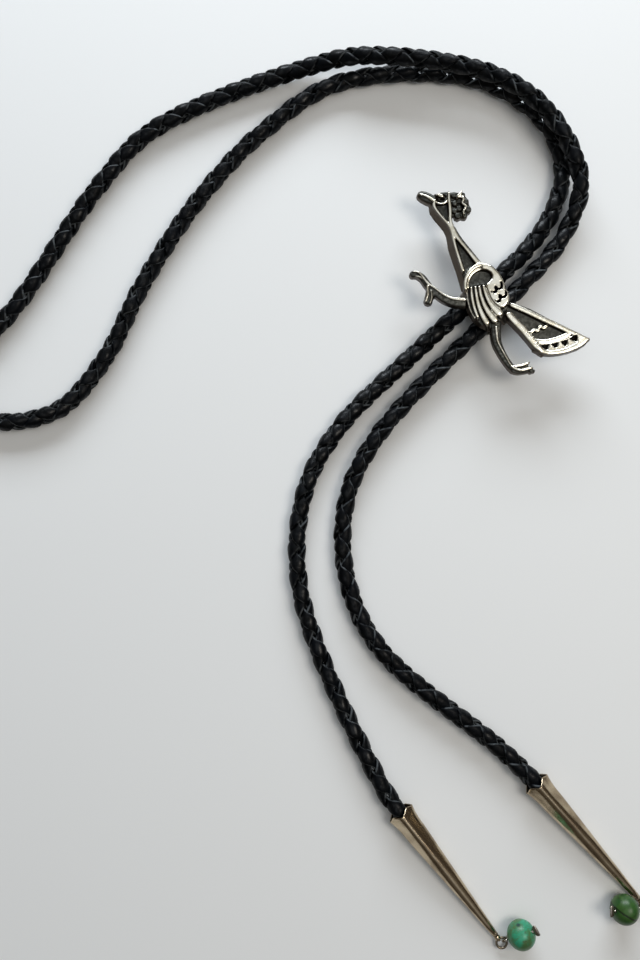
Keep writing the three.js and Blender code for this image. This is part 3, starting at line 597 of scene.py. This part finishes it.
def raised(name, low, high, outline, dome=0.0, foot=0.0):
    """A plate from low to high, with its outline's corners in order."""
    deselect()
    bpy.ops.mesh.primitive_circle_add(vertices=len(outline), radius=MM, fill_type="NGON")
    piece = bpy.context.object
    piece.name = name
    for corner, (x, y) in zip(piece.data.vertices, outline):
        corner.co = Vector((x, y, high)) * MM
    edit(piece)
    bpy.ops.mesh.select_all(action="SELECT")
    bpy.ops.mesh.extrude_region_move(TRANSFORM_OT_translate={"value": (0, 0, (low - high) * MM)})
    done(piece)
    wider = spread(outline, foot)
    for corner in piece.data.vertices:
        if corner.co.z < (low + high) / 2 * MM:
            here = corner.co.xy / MM
            near = min(range(len(outline)), key=lambda k: (Vector(outline[k]) - here).length)
            corner.co.xy = wider[near] * MM
    mesh = edit(piece)
    if dome:
        for rim in mesh.edges:
            rim.select = min(v.co.z for v in rim.verts) > (low + high) / 2 * MM
        bpy.ops.mesh.bevel(offset=dome * MM, segments=4, profile=0.55, clamp_overlap=True)
    bpy.ops.mesh.select_all(action="SELECT")
    bpy.ops.mesh.normals_make_consistent(inside=False)
    return done(piece)


DOMED = {"shoulder": 0.55, "beak": 0.8, "neck flank": 0.3}
FOOT = {"neck flank": 1.2, "beak": 0.05, "tail": 0.1, "body": 0.5}
PLAIN_FOOT, LOBE_FOOT = 0.06, 0.12
LOBE_CORNERS = 20
# rails whose ends lie under lobes or other rails, and aren't rounded themselves
PLAIN_ENDS = ("left leg", "left lower toe", "right leg", "under toe")
bird_wax = [
    raised(
        name, SLIDE_BACK, SLIDE_BACK + high, outline, DOMED.get(name, 0), FOOT.get(name, PLAIN_FOOT)
    )
    for name, (high, outline) in PLATES.items()
]
for x, y, high, wide in LOBES:
    turns = (math.tau * k / LOBE_CORNERS for k in range(LOBE_CORNERS))
    outline = [(x + wide * math.cos(turn), y + wide * math.sin(turn)) for turn in turns]
    bird_wax.append(raised("lobe", SLIDE_BACK, SLIDE_BACK + high, outline, wide * 0.55, LOBE_FOOT))
print("plates:", len(bird_wax))

# %% [markdown]
# A rail is a bezier curve. Its section is a small closed curve with a crowned top and straight
# sides, and each point's radius makes the rail wider or narrower there. The section's top has
# to stay at the rail's height while it widens, so each point of the curve is lowered by its
# share of the crown. The ends are rounded by three more points that taper in.

# %% Lay the rails
CROWN = 0.45
DEPTH = 7.0
# how far out, and how wide, each tapering point is, as shares of the rail's half width and width
END_TAPER = ((0.4, 0.92), (0.72, 0.7), (0.93, 0.36))


def rail_section():
    """The crowned section with straight sides, for a rail of half width 1."""
    arc = []
    for k in range(9):
        turn = math.pi * k / 8
        across = math.copysign(abs(math.cos(turn)) ** 0.7, math.cos(turn))
        arc.append((across, CROWN * math.sin(turn) ** 0.7))
    corners = [(1, -DEPTH), *arc, (-1, -DEPTH)]
    bpy.ops.curve.primitive_bezier_curve_add()
    section = bpy.context.object
    section.name = "rail section"
    section.data.splines.clear()
    spline = section.data.splines.new("POLY")
    spline.points.add(len(corners) - 1)
    for point, (x, y) in zip(spline.points, corners):
        point.co = (x, y, 0, 1)
    spline.use_cyclic_u = True
    section.data.dimensions = "2D"
    section.data.fill_mode = "NONE"
    return section


def rounded_ends(rows):
    """The rows with three tapering points beyond either end."""
    def beyond(end, inner):
        x, y, wide = end
        away = Vector((x - inner[0], y - inner[1])).normalized() * wide / 2
        return [(x + away.x * out, y + away.y * out, wide * share) for out, share in END_TAPER]

    return [*reversed(beyond(rows[0], rows[1])), *rows, *beyond(rows[-1], rows[-2])]


def rail(name, high, rows, section):
    """A mesh rail whose crown is at a height above the slide's back."""
    rows = rows if name in PLAIN_ENDS else rounded_ends(rows)
    deselect()
    bpy.ops.curve.primitive_bezier_curve_add()
    piece = bpy.context.object
    piece.name = name
    line = piece.data
    line.dimensions = "3D"
    line.twist_mode = "Z_UP"
    line.resolution_u = 5
    line.bevel_mode = "OBJECT"
    line.bevel_object = section
    line.use_fill_caps = True
    spline = line.splines[0]
    spline.bezier_points.add(len(rows) - len(spline.bezier_points))
    for point, (x, y, wide) in zip(spline.bezier_points, rows):
        point.co = Vector((x, y, SLIDE_BACK + high - CROWN * wide / 2)) * MM
        point.radius = wide / 2 * MM
        point.handle_left_type = point.handle_right_type = "AUTO"
    bpy.ops.object.convert(target="MESH")
    return bpy.context.object


section = rail_section()
for name, (high, rows) in WIRES.items():
    bird_wax.append(rail(name, high, rows, section))
bpy.data.objects.remove(section)
print("rails:", len(WIRES))

# %% [markdown]
# All of it is joined, and what hangs below the back is flattened onto it by scaling it to
# nothing across the back's plane. The remesh makes one skin of it. The scallops in the
# shoulder and the teeth in the tail are cut afterwards by a Boolean, and a few rounds of
# smoothing take the edge off everything, as polishing does. The remesh spends as many faces on
# the flat back as on the crest, so Decimate then takes out those that carry no shape.

# %% Melt the bird into one casting
def joined(pieces, name):
    deselect()
    for piece in pieces:
        piece.select_set(True)
    bpy.context.view_layer.objects.active = pieces[0]
    bpy.ops.object.join()
    pieces[0].name = name
    return pieces[0]


def apply(piece, kind, **settings):
    """Adds a modifier and applies it at once."""
    deselect()
    bpy.context.view_layer.objects.active = piece
    piece.select_set(True)
    modifier = piece.modifiers.new(kind.lower(), kind)
    for key, value in settings.items():
        setattr(modifier, key, value)
    bpy.ops.object.modifier_apply(modifier=modifier.name)


def triangles(piece):
    return sum(len(p.vertices) - 2 for p in piece.data.polygons)


VOXEL = 0.14
CUT_TOP = 5
KEPT_FACES = 0.62
bird = joined(bird_wax, "bird")
for vertex in edit(bird, "VERT").verts:
    vertex.select = vertex.co.z < (SLIDE_BACK + 0.001) * MM
bpy.ops.transform.resize(value=(1, 1, 0), center_override=(0, 0, SLIDE_BACK * MM))
done(bird)
apply(bird, "REMESH", mode="VOXEL", voxel_size=VOXEL * MM)
print("after the remesh:", triangles(bird))
cutters = joined(
    [
        raised(name, SLIDE_BACK + floor, SLIDE_BACK + CUT_TOP, outline)
        for name, (floor, outline) in CUTS.items()
    ],
    "cutters",
)
apply(bird, "BOOLEAN", operation="DIFFERENCE", object=cutters, solver="EXACT")
bpy.data.objects.remove(cutters)
apply(bird, "SMOOTH", factor=0.5, iterations=3)
apply(bird, "DECIMATE", ratio=KEPT_FACES)
bird.data.polygons.foreach_set("use_smooth", [True] * len(bird.data.polygons))
print("bird triangles:", triangles(bird))

# %% [markdown]
# ## Old silver
# Raised silver is rubbed bright, and the tarnish stays in the hollows. How deep a point lies is
# measured here on the mesh itself: each point's height is compared with the average height
# round it, found by averaging over neighbours many times. That is kept in an attribute, so that
# the pattern follows the relief and needs no image. Only what stands high above the back and
# faces up is rubbed: the low plates keep their tarnish. The walls and the deepest hollows also
# get painted shade: a brown tone where a face turns sideways, and near black in the crevices.

# %% Measure the hollows
def mark_hollows(piece, name, rounds):
    """Keeps each point's height above the average round it, in millimetres."""
    count = len(piece.data.vertices)
    high = np.empty(count * 3)
    piece.data.vertices.foreach_get("co", high)
    high = high.reshape(-1, 3)[:, 2] / MM
    ends = np.empty(len(piece.data.edges) * 2, int)
    piece.data.edges.foreach_get("vertices", ends)
    a, b = ends.reshape(-1, 2).T
    share = np.bincount(a, minlength=count) + np.bincount(b, minlength=count)
    soft = high.copy()
    for _ in range(rounds):
        total = np.bincount(a, soft[b], count) + np.bincount(b, soft[a], count)
        soft = (soft + total) / (share + 1)
    mark = piece.data.attributes.new(name, "FLOAT", "POINT")
    mark.data.foreach_set("value", (high - soft).astype(np.float32))
    return high - soft


HOLLOW_ROUNDS = 40
relief = mark_hollows(bird, "relief", HOLLOW_ROUNDS)
print("relief in mm, from and to:", round(relief.min(), 2), round(relief.max(), 2))

# %% Paint the bird
RUBBED_FROM, RUBBED_TO = SLIDE_BACK + 2.55, SLIDE_BACK + 3.1
RUBBED_FLOOR = colour(0.09, 0.092, 0.084)


def old_silver(name, bright, dull, wall_shade, floor, crevice_tarnish_and_shade):
    """Bright silver on top and nearly black tarnish on the floors. The walls' brown and the
    crevices' black are painted shade, the crevices' partly tarnish too.
    """
    paint = Paint(name, metallic=1.0)
    relief = paint.attribute("relief")
    high = paint.node("ShaderNodeSeparateXYZ", None, {0: paint.place}, out="Z") * (1 / MM)
    geometry = paint.node("ShaderNodeNewGeometry", out="Normal")
    facing = paint.node("ShaderNodeSeparateXYZ", None, {0: geometry}, out="Z")
    fine = paint.noise(1.1, detail=4.0, roughness=0.6)
    mottle = paint.noise(0.4, detail=3.0)
    top = (high + (fine - 0.5) * 0.5).between(RUBBED_FROM, RUBBED_TO)
    # only faces that turn up are rubbed bright; sloping sides keep the darker colours as painted
    # shade
    rubbed = top * (relief + (fine - 0.5) * 0.3).between(-0.3, 0.1) * facing.between(0.2, 0.8)
    bottom = paint.mix(fine.between(0.4, 0.65), floor, RUBBED_FLOOR)
    # painted shade: faces that turn sideways take the walls' brown, and the deepest hollows the
    # crevices' near black, which is partly tarnish
    tarnish_and_shade = paint.mix(facing.between(0.45, 0.9), wall_shade, bottom)
    tarnish_and_shade = paint.mix(relief.between(-0.75, -0.3), crevice_tarnish_and_shade, tarnish_and_shade)
    tone = paint.mix(mottle.between(0.42, 0.62) * 0.85, bright, dull)
    paint.set(
        base_color=paint.mix(rubbed, tarnish_and_shade, tone),
        roughness=(1 - rubbed) * 0.2 + fine * 0.14 + 0.15,
    )
    scratches = paint.noise(4.5, detail=3.0, roughness=0.7)
    paint.bump(scratches * 0.5 + fine, 0.05, 0.4)
    return paint


# the colours in turn: bright and dull silver, the walls' painted shade, the floors' tarnish, the
# crevices' tarnish and painted shade
slide_silver = old_silver(
    "slide silver", colour(0.98, 0.95, 0.83), colour(0.74, 0.69, 0.55),
    colour(0.078, 0.063, 0.05), colour(0.042, 0.043, 0.038), colour(0.01, 0.009, 0.008),
)
slide_silver.on(bird)
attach(bird, "root")
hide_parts("bird_slide")
print("bird painted")

# %% [markdown]
# ## Where the tips, rings and beads lie
# Each tip lies on the paper from the end of the cord down to its ring, a little lower at the
# ring. A pin hangs from each ring by its eye and carries a bead, which rests on the paper. The
# pieces are modelled along X at the origin, where they are easy to think about, and then their
# meshes are moved by these two matrices.

# %% Work out the places
TIP_LONG, TIP_MOUTH, TIP_END = 43, 7.1, 1.4
RING_RADIUS, RING_WIRE = 1.4, 0.65
EYE_RADIUS, WIRE = 0.9, 0.6
BEAD_WIDE, BEAD_LONG = 8.1, 7.5
HEAD_LONG, HEAD_WIDE, HEAD_THICK = 1.2, 2.8, 0.6
GAP = 0.3
CLEAR = 0.1
RING_HIGH = EYE_RADIUS + WIRE / 2 + CLEAR
# how far it is along each pin from the middle of its eye to its bead
PIN_REACH = {"left": EYE_RADIUS + WIRE / 2 + GAP, "right": EYE_RADIUS + WIRE * 1.5 + GAP}


def at(x, y, z, turn, tilt):
    """A place in millimetres, turned in plan and tilted up along its own X."""
    turned = Matrix.Rotation(math.radians(turn), 4, "Z") @ Matrix.Rotation(-tilt, 4, "Y")
    return Matrix.Translation(Vector((x, y, z)) * MM) @ turned


def tip_and_pin(side, mouth, tip_turn, eye_turn, pin_turn):
    """Where a tip, its ring and its pin lie. The turns are in degrees, seen from above."""
    drop = math.asin((RING_HIGH - TIP_MOUTH / 2) / (TIP_LONG + RING_RADIUS))
    tip = at(mouth[0], mouth[1], TIP_MOUTH / 2, tip_turn, drop)
    ring = tip @ Vector(((TIP_LONG + RING_RADIUS) * MM, 0, 0)) / MM
    turn = math.radians(eye_turn)
    eye = ring + Vector((math.cos(turn), math.sin(turn), 0)) * RING_RADIUS
    rise = math.asin((BEAD_WIDE / 2 + CLEAR - RING_HIGH) / (PIN_REACH[side] + BEAD_LONG / 2))
    return tip, ring, at(eye.x, eye.y, RING_HIGH, pin_turn, rise)


PLACES = {
    "left": tip_and_pin("left", route_points[1], -51.9, 42, 30),
    "right": tip_and_pin("right", route_points[-2], -48.4, 190, 176),
}
for side, (tip, ring, pin) in PLACES.items():
    print(side, "ring in mm:", [round(v, 1) for v in ring])

# %% [markdown]
# ## The silver tips
# A tip is a cone rolled from silver sheet. Its mouth is squared where it was crimped on the
# cord, with one corner up, and the rim is cut to four short points. A cone primitive gives the
# taper. Its rings are added by bisecting it across, and the points of each ring are then moved
# out from a circle towards a square, most at the mouth. The mouth also flares to the sides, and
# a slight waist sets it off. The rolled sheet gets its thickness from Solidify once the mouth is
# open. Fades and places along the tip are shares of its length.

# %% Shape a tip
TIP_TABS, TABS_FADE = 0.9, 0.03
TIP_SHEET = 0.28
SQUARE_FADES, SQUARE_POWER = 0.6, 3.4
FLARE, FLARE_FADES = 0.1, 0.07
WAIST, WAIST_AT, WAIST_LONG = 0.03, 0.1, 0.04
TIP_RINGS = (0.008, 0.02, 0.035, 0.055, 0.08, 0.11, 0.15, 0.2, 0.26, 0.34, 0.5, 0.7, 0.9)


def tip_cone():
    deselect()
    bpy.ops.mesh.primitive_cone_add(
        vertices=64, radius1=TIP_MOUTH / 2 * MM, radius2=TIP_END / 2 * MM, depth=TIP_LONG * MM,
        end_fill_type="NGON", location=(TIP_LONG / 2 * MM, 0, 0), rotation=(0, math.pi / 2, 0),
    )
    cone = bpy.context.object
    bpy.ops.object.transform_apply(location=True, rotation=True)
    for share in TIP_RINGS:
        edit(cone)
        bpy.ops.mesh.select_all(action="SELECT")
        bpy.ops.mesh.bisect(plane_co=(share * TIP_LONG * MM, 0, 0), plane_no=(1, 0, 0))
        done(cone)
    for vertex in cone.data.vertices:
        share = vertex.co.x / (TIP_LONG * MM)
        turn = math.atan2(vertex.co.y, vertex.co.z)
        square = max(0.0, 1 - share / SQUARE_FADES)
        power = 2 + SQUARE_POWER * square
        flat = turn + math.pi / 4
        full = (abs(math.cos(flat)) ** power + abs(math.sin(flat)) ** power) ** (-1 / power)
        pull = 1 + (full / 2 ** (0.5 - 1 / power) - 1) * min(1, square * 3)
        flare = 1 + FLARE * max(0.0, 1 - share / FLARE_FADES) ** 2
        flare -= WAIST * math.exp(-(((share - WAIST_AT) / WAIST_LONG) ** 2))
        vertex.co.y *= pull * flare
        vertex.co.z *= pull
        if share < TABS_FADE:
            vertex.co.x -= TIP_TABS * MM * (0.5 - 0.5 * math.cos(4 * turn)) * (1 - share / TABS_FADE)
    for face in edit(cone).faces:
        face.select = face.normal.x < -0.9 and face.calc_center_median().x < 0.5 * MM
    bpy.ops.mesh.delete(type="FACE")
    done(cone)
    apply(cone, "SOLIDIFY", thickness=TIP_SHEET * MM, offset=-1)
    return cone


SOLDER_RADIUS, SOLDER_IN, SOLDER_STRETCH = 0.82, 0.3, 1.5


def tip_ring(place, ring):
    """The ring and its solder, in their places, so that they can be joined to the cone."""
    deselect()
    bpy.ops.mesh.primitive_torus_add(
        major_radius=RING_RADIUS * MM, minor_radius=RING_WIRE / 2 * MM,
        major_segments=48, minor_segments=16,
    )
    wire = bpy.context.object
    wire.data.transform(Matrix.Translation(ring * MM))
    # the ring is marked, so that its silver can be painted darker than the cone's
    darker_ring = wire.data.attributes.new("darker_ring", "FLOAT", "POINT")
    darker_ring.data.foreach_set("value", [1.0] * len(wire.data.vertices))
    deselect()
    bpy.ops.mesh.primitive_uv_sphere_add(
        radius=SOLDER_RADIUS * MM, segments=24, ring_count=16,
        location=((TIP_LONG - SOLDER_IN) * MM, 0, 0),
    )
    solder = bpy.context.object
    bpy.ops.object.transform_apply(location=True)
    for vertex in solder.data.vertices:
        vertex.co.x = (vertex.co.x - TIP_LONG * MM) * SOLDER_STRETCH + TIP_LONG * MM
    solder.data.transform(place)
    return [wire, solder]


tips = {}
for side, (place, ring, pin) in PLACES.items():
    cone = tip_cone()
    cone.data.transform(place)
    tips[side] = joined([cone, *tip_ring(place, ring)], f"{side}_silver_tip")
    tips[side].data.polygons.foreach_set("use_smooth", [True] * len(tips[side].data.polygons))
    print(side, "tip triangles:", triangles(tips[side]))

# %% [markdown]
# ## Turquoise beads
# A bead is a slightly flattened ball with a drilled hole. A UV sphere is squeezed along its
# hole, the caps at its poles are deleted, and the two open rims are bridged, which makes the
# wall of the hole. Handmade beads aren't true, so the surface is pushed in and out a little.

# %% Turn a bead
HOLE = 1.3
LUMPS, LUMP_HIGH = 5, 0.004


def drilled_bead(seed, reach):
    deselect()
    bpy.ops.mesh.primitive_uv_sphere_add(
        segments=64, ring_count=40, radius=BEAD_WIDE / 2 * MM, rotation=(0, math.pi / 2, 0)
    )
    bead = bpy.context.object
    bpy.ops.object.transform_apply(location=True, rotation=True)
    for face in edit(bead).faces:
        middle = face.calc_center_median()
        face.select = math.hypot(middle.y, middle.z) < HOLE / 2 * MM
    bpy.ops.mesh.delete(type="FACE")
    bpy.ops.mesh.select_mode(type="EDGE")
    bpy.ops.mesh.select_all(action="DESELECT")
    for loose in bmesh.from_edit_mesh(bead.data).edges:
        loose.select = loose.is_boundary
    bpy.ops.mesh.bridge_edge_loops()
    bpy.ops.mesh.select_all(action="SELECT")
    bpy.ops.mesh.normals_make_consistent(inside=False)
    done(bead)
    rng = np.random.default_rng(seed)
    lumps = rng.normal(0, 1, (LUMPS, 3))
    for vertex in bead.data.vertices:
        way = vertex.co.normalized()
        out = sum(math.sin(2.2 * way.dot(Vector(lump)) + k) for k, lump in enumerate(lumps))
        if math.hypot(vertex.co.y, vertex.co.z) > HOLE * MM:
            vertex.co *= 1 - 0.006 + LUMP_HIGH * out / LUMPS
        vertex.co.x *= BEAD_LONG / BEAD_WIDE
        vertex.co.x += (reach + BEAD_LONG / 2) * MM
    bead.data.polygons.foreach_set("use_smooth", [True] * len(bead.data.polygons))
    return bead


beads = {}
for seed, (side, (place, ring, pin)) in enumerate(PLACES.items()):
    beads[side] = drilled_bead(11 + seed, PIN_REACH[side])
    beads[side].name = f"{side}_turquoise_bead"
    beads[side].data.transform(pin)
print("bead triangles:", triangles(beads["left"]))

# %% [markdown]
# ## The bead pins
# A pin is one piece of silver wire: bent to an eye at one end, and hammered flat at the other so
# that the bead can't slip off. The eye is a torus and the wire a cylinder. The paddle is a cube
# that is subdivided, tapered towards the wire and rounded.

# %% Bend a pin
HEAD_BEVEL = 0.22


def bead_pin(reach):
    deselect()
    bpy.ops.mesh.primitive_torus_add(
        major_radius=EYE_RADIUS * MM, minor_radius=WIRE / 2 * MM, major_segments=40,
        minor_segments=14, rotation=(math.pi / 2, 0, 0),
    )
    eye = bpy.context.object
    bpy.ops.object.transform_apply(location=True, rotation=True)
    wire_end = reach + BEAD_LONG + GAP + HEAD_LONG / 2
    deselect()
    bpy.ops.mesh.primitive_cylinder_add(
        vertices=14, radius=WIRE / 2 * MM, depth=(wire_end - EYE_RADIUS) * MM,
        location=((wire_end + EYE_RADIUS) / 2 * MM, 0, 0), rotation=(0, math.pi / 2, 0),
    )
    wire = bpy.context.object
    bpy.ops.object.transform_apply(location=True, rotation=True)
    deselect()
    bpy.ops.mesh.primitive_cube_add(
        size=MM, location=(wire_end * MM, 0, 0), scale=(HEAD_LONG, HEAD_WIDE, HEAD_THICK)
    )
    paddle = bpy.context.object
    bpy.ops.object.transform_apply(location=True, scale=True)
    edit(paddle)
    bpy.ops.mesh.select_all(action="SELECT")
    bpy.ops.mesh.bevel(offset=HEAD_BEVEL * MM, segments=2, clamp_overlap=True)
    bpy.ops.mesh.subdivide(number_cuts=2, smoothness=0.6)
    done(paddle)
    for vertex in paddle.data.vertices:
        share = (vertex.co.x / MM - wire_end) / HEAD_LONG + 0.5
        vertex.co.y *= 0.72 + 0.36 * math.sin(min(1, share + 0.12) * math.pi * 0.62)
        vertex.co.z *= 1.12 - 0.35 * share
    whole = joined([eye, wire, paddle], "pin")
    whole.data.polygons.foreach_set("use_smooth", [True] * len(whole.data.polygons))
    return whole


pins = {}
for side, (place, ring, pin) in PLACES.items():
    pins[side] = bead_pin(PIN_REACH[side])
    pins[side].name = f"{side}_silver_pin"
    pins[side].data.transform(pin)
print("pin triangles:", triangles(pins["left"]))

# %% [markdown]
# ## The keeper
# Behind the bird a strap of silver sheet is bent round both cords, and its grip keeps the slide
# where it is pushed. It is a box with its four long edges bevelled, opened at both ends, given
# the sheet's thickness inwards, and with its cut rims rounded over. It is soldered to the slide,
# so it reaches a hair's breadth into the slide's back.

# %% Bend the keeper
KEEPER_LONG, KEEPER_WIDE, KEEPER_HIGH, KEEPER_SHEET = 6.6, 13.8, 7.55, 0.6
KEEPER_CORNER, KEEPER_RIM = 1.2, 0.18
KEEPER_TURN = math.radians(41)
deselect()
bpy.ops.mesh.primitive_cube_add(size=MM, scale=(KEEPER_LONG, KEEPER_WIDE, KEEPER_HIGH))
keeper = bpy.context.object
keeper.name = "keeper_strap"
bpy.ops.object.transform_apply(scale=True)
for face in edit(keeper).faces:
    face.select = abs(face.normal.x) > 0.9
bpy.ops.mesh.delete(type="FACE")
bpy.ops.mesh.select_mode(type="EDGE")
for side_edge in bmesh.from_edit_mesh(keeper.data).edges:
    a, b = (v.co for v in side_edge.verts)
    side_edge.select = abs(a.x - b.x) > MM
bpy.ops.mesh.bevel(offset=KEEPER_CORNER * MM, segments=6)
bpy.ops.mesh.select_all(action="SELECT")
bpy.ops.mesh.normals_make_consistent(inside=False)
done(keeper)
apply(keeper, "SOLIDIFY", thickness=KEEPER_SHEET * MM, offset=-1)
apply(
    keeper, "BEVEL", width=KEEPER_RIM * MM, segments=3, limit_method="ANGLE",
    angle_limit=math.radians(50),
)
keeper.data.transform(
    Matrix.Translation((0, 0, KEEPER_HIGH / 2 * MM)) @ Matrix.Rotation(KEEPER_TURN, 4, "Z")
)
deselect()
keeper.select_set(True)
bpy.context.view_layer.objects.active = keeper
bpy.ops.object.shade_smooth_by_angle(angle=math.radians(35))
print("keeper triangles:", triangles(keeper))

# %% [markdown]
# ## Silver for the plain pieces, and stone
# The tips are plainer silver than the bird: polished long ago, yellowed since, with soft stains
# and fine scratches that run along them. The keeper is the same sheet, left satin, and painted
# darker as shade, so that where it shows beside the bird it reads as the bird's shadow. Turquoise
# isn't one blue: it is a ground colour clouded with a second one, crossed by brown veins of the
# rock it grew in. Noise gives the clouds, and the veins are where a stretched noise passes
# through its middle value, which leaves thin wandering lines.

# %% Paint the tips, pins and keeper
DARK_RING_TONE = colour(0.06, 0.05, 0.04)


def plain_silver(name, bright, stained, rough):
    """Silver with soft stains. The ring of a tip is darker."""
    paint = Paint(name, metallic=1.0)
    darker_ring = paint.attribute("darker_ring")
    stains = paint.noise(0.16, detail=4.0, roughness=0.6)
    fine = paint.noise(1.6, detail=4.0, roughness=0.65)
    clean = paint.mix(stains.between(0.38, 0.66), bright, stained)
    paint.set(
        # the ring of each tip is painted darker than the cone
        base_color=paint.mix(darker_ring * 0.75, clean, DARK_RING_TONE),
        roughness=rough + stains.between(0.4, 0.7) * 0.10 + fine * 0.05,
    )
    paint.bump(fine, 0.03, 0.25)
    return paint


tip_silver = plain_silver("tip silver", colour(0.58, 0.48, 0.34), colour(0.34, 0.265, 0.18), 0.13)
pin_silver = plain_silver("pin silver", colour(0.46, 0.42, 0.37), colour(0.22, 0.19, 0.155), 0.16)
# the keeper's silver is painted darker than the tips' as shade: where it shows under the bird it
# reads as the bird's shadow
shaded_keeper_silver = plain_silver(
    "shaded keeper silver", colour(0.36, 0.33, 0.29), colour(0.20, 0.18, 0.15), 0.34
)


# %% Paint the stones
PIT = (-1.2, 3.3, 1.9)
# the direction across the crack, and how far it lies from the bead's middle
CRACK_ACROSS, CRACK_AT = (0.49, 0.87, 0.10), -0.34
CRACK_WANDER = 0.8
FLAW_WIDE = {"left": 0.85, "right": 0.30}
# the left tone is the pit's painted shade, the right one the dark line of the crack in the stone
PIT_SHADE_AND_CRACK_TONE = {"left": colour(0.004, 0.035, 0.045), "right": colour(0.006, 0.007, 0.004)}


def turquoise(name, side, ground, cloud, dark, vein_share, seed):
    """A clouded, veined stone. The left bead has a pit, painted dark as its shade, and the right one
    a dark crack.
    """
    paint = Paint(name, roughness=0.28, specular_ior_level=0.4)
    moved = paint.node("ShaderNodeMapping", None, {0: paint.place, 1: (seed, seed * 0.7, 0)})
    clouds = paint.noise(0.3, detail=5.0, roughness=0.62, at=moved)
    specks = paint.noise(1.3, detail=3.0, roughness=0.6, at=moved)
    veins = paint.noise(0.13, detail=4.0, roughness=0.55, at=moved)
    vein = 1 - (veins - 0.5).maths("ABSOLUTE").between(0.0, vein_share)
    stone = paint.mix(clouds.between(0.38, 0.62), ground, cloud)
    stone = paint.mix(specks.between(0.55, 0.72) * 0.45, stone, dark)
    middle = PLACES[side][2] @ Vector(((PIN_REACH[side] + BEAD_LONG / 2) * MM, 0, 0))
    out = paint.node("ShaderNodeVectorMath", {"operation": "SUBTRACT"}, {0: paint.place, 1: middle})
    if side == "left":
        spot = Vector(PIT) * MM
        away = paint.node(
            "ShaderNodeVectorMath", {"operation": "DISTANCE"}, {0: out, 1: spot}, out="Value"
        )
    else:
        across = paint.node(
            "ShaderNodeVectorMath", {"operation": "DOT_PRODUCT"}, {0: out, 1: CRACK_ACROSS},
            out="Value",
        )
        away = (across - CRACK_AT * MM + (specks - 0.5) * (CRACK_WANDER * MM)).maths("ABSOLUTE")
    # the left bead's pit is only a bump, and its dark tone is painted shade; the right bead's crack
    # is a dark line in the stone
    pit_shade_and_crack = 1 - (away * (1 / MM)).between(0.1, FLAW_WIDE[side])
    paint.set(
        base_color=paint.mix(pit_shade_and_crack * 0.92, paint.mix(vein * 0.7, stone, dark), PIT_SHADE_AND_CRACK_TONE[side]),
        roughness=0.24 + specks * 0.2,
    )
    paint.bump(specks * 0.4 - vein * 0.6 - pit_shade_and_crack * 1.5, 0.06, 0.4)
    return paint


left_stone = turquoise(
    "blue-green turquoise", "left", colour(0.028, 0.29, 0.165), colour(0.06, 0.14, 0.05),
    colour(0.05, 0.055, 0.028), 0.006, 0.31,
)
right_stone = turquoise(
    "dark green turquoise", "right", colour(0.014, 0.065, 0.012), colour(0.035, 0.095, 0.018),
    colour(0.014, 0.012, 0.007), 0.010, 0.77,
)
for side, stone in (("left", left_stone), ("right", right_stone)):
    for piece, paint, node, slot in (
        (tips[side], tip_silver, f"{side}_tip", "tip_silver"),
        (beads[side], stone, f"{side}_bead", f"{side}_turquoise"),
        (pins[side], pin_silver, f"{side}_bead_pin", "pin_silver"),
    ):
        paint.on(piece)
        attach(piece, "root")
        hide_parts(node)
shaded_keeper_silver.on(keeper)
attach(keeper, "root")
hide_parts("cord_keeper")
print("painted and placed:", len(tips) + len(beads) + len(pins) + 1, "pieces")

# %% [markdown]
# ## The paper and the light
# The tie lies on plain pale paper by a window. One broad cool light comes from beyond the top
# of the picture, a smaller and warmer one from high on the right, and the pale room fills the
# shadows. Each shadow takes the colour of the light that still reaches it. The room is a ramp
# on height, from a dim warm floor to a pale ceiling, and the silver mirrors it.

# %% Lay the paper and hang the lights
deselect()
bpy.ops.mesh.primitive_plane_add(size=2.4, location=(-0.05, -0.05, 0))
paper = bpy.context.object
paper.name = "paper"
paper_paint = Paint("pale paper", base_color=colour(0.79, 0.806, 0.812), roughness=0.7)
paper_paint.set(specular_ior_level=0.25)
paper_paint.on(paper)


PICTURE_MIDDLE = Vector((-49, -51, 0))


def window(name, place_mm, size_mm, watts, tint):
    """An area light that looks at the middle of the picture."""
    data = bpy.data.lights.new(name, "AREA")
    data.shape = "RECTANGLE"
    data.size, data.size_y = (side * MM for side in size_mm)
    data.energy = watts
    data.color = tint
    lamp = bpy.data.objects.new(name, data)
    scene.collection.objects.link(lamp)
    away = Vector(place_mm) - PICTURE_MIDDLE
    turn = away.to_track_quat("Z", "Y")
    lamp.matrix_world = Matrix.Translation(Vector(place_mm) * MM) @ turn.to_matrix().to_4x4()
    return lamp


scene.view_settings.view_transform = "Standard"
window("top window", (-40, 640, 310), (700, 300), 6.9, (0.88, 0.94, 1.0))
window("right lamp", (270, -60, 560), (260, 260), 1.2, (1.0, 0.92, 0.82))
world = bpy.data.worlds.new("pale room")
scene.world = world
world.use_nodes = True
room = world.node_tree
sky = room.nodes.new("ShaderNodeTexCoord")
height = room.nodes.new("ShaderNodeSeparateXYZ")
shades = room.nodes.new("ShaderNodeValToRGB")
room.links.new(sky.outputs["Generated"], height.inputs[0])
room.links.new(height.outputs["Z"], shades.inputs[0])
room.links.new(shades.outputs[0], room.nodes["Background"].inputs["Color"])
low, high = shades.color_ramp.elements
low.position, low.color = 0.1, colour(0.09, 0.074, 0.056)
high.position, high.color = 0.93, colour(0.95, 0.98, 1.0)
middle = shades.color_ramp.elements.new(0.76)
middle.color = colour(0.17, 0.155, 0.135)
room.nodes["Background"].inputs["Strength"].default_value = 0.7
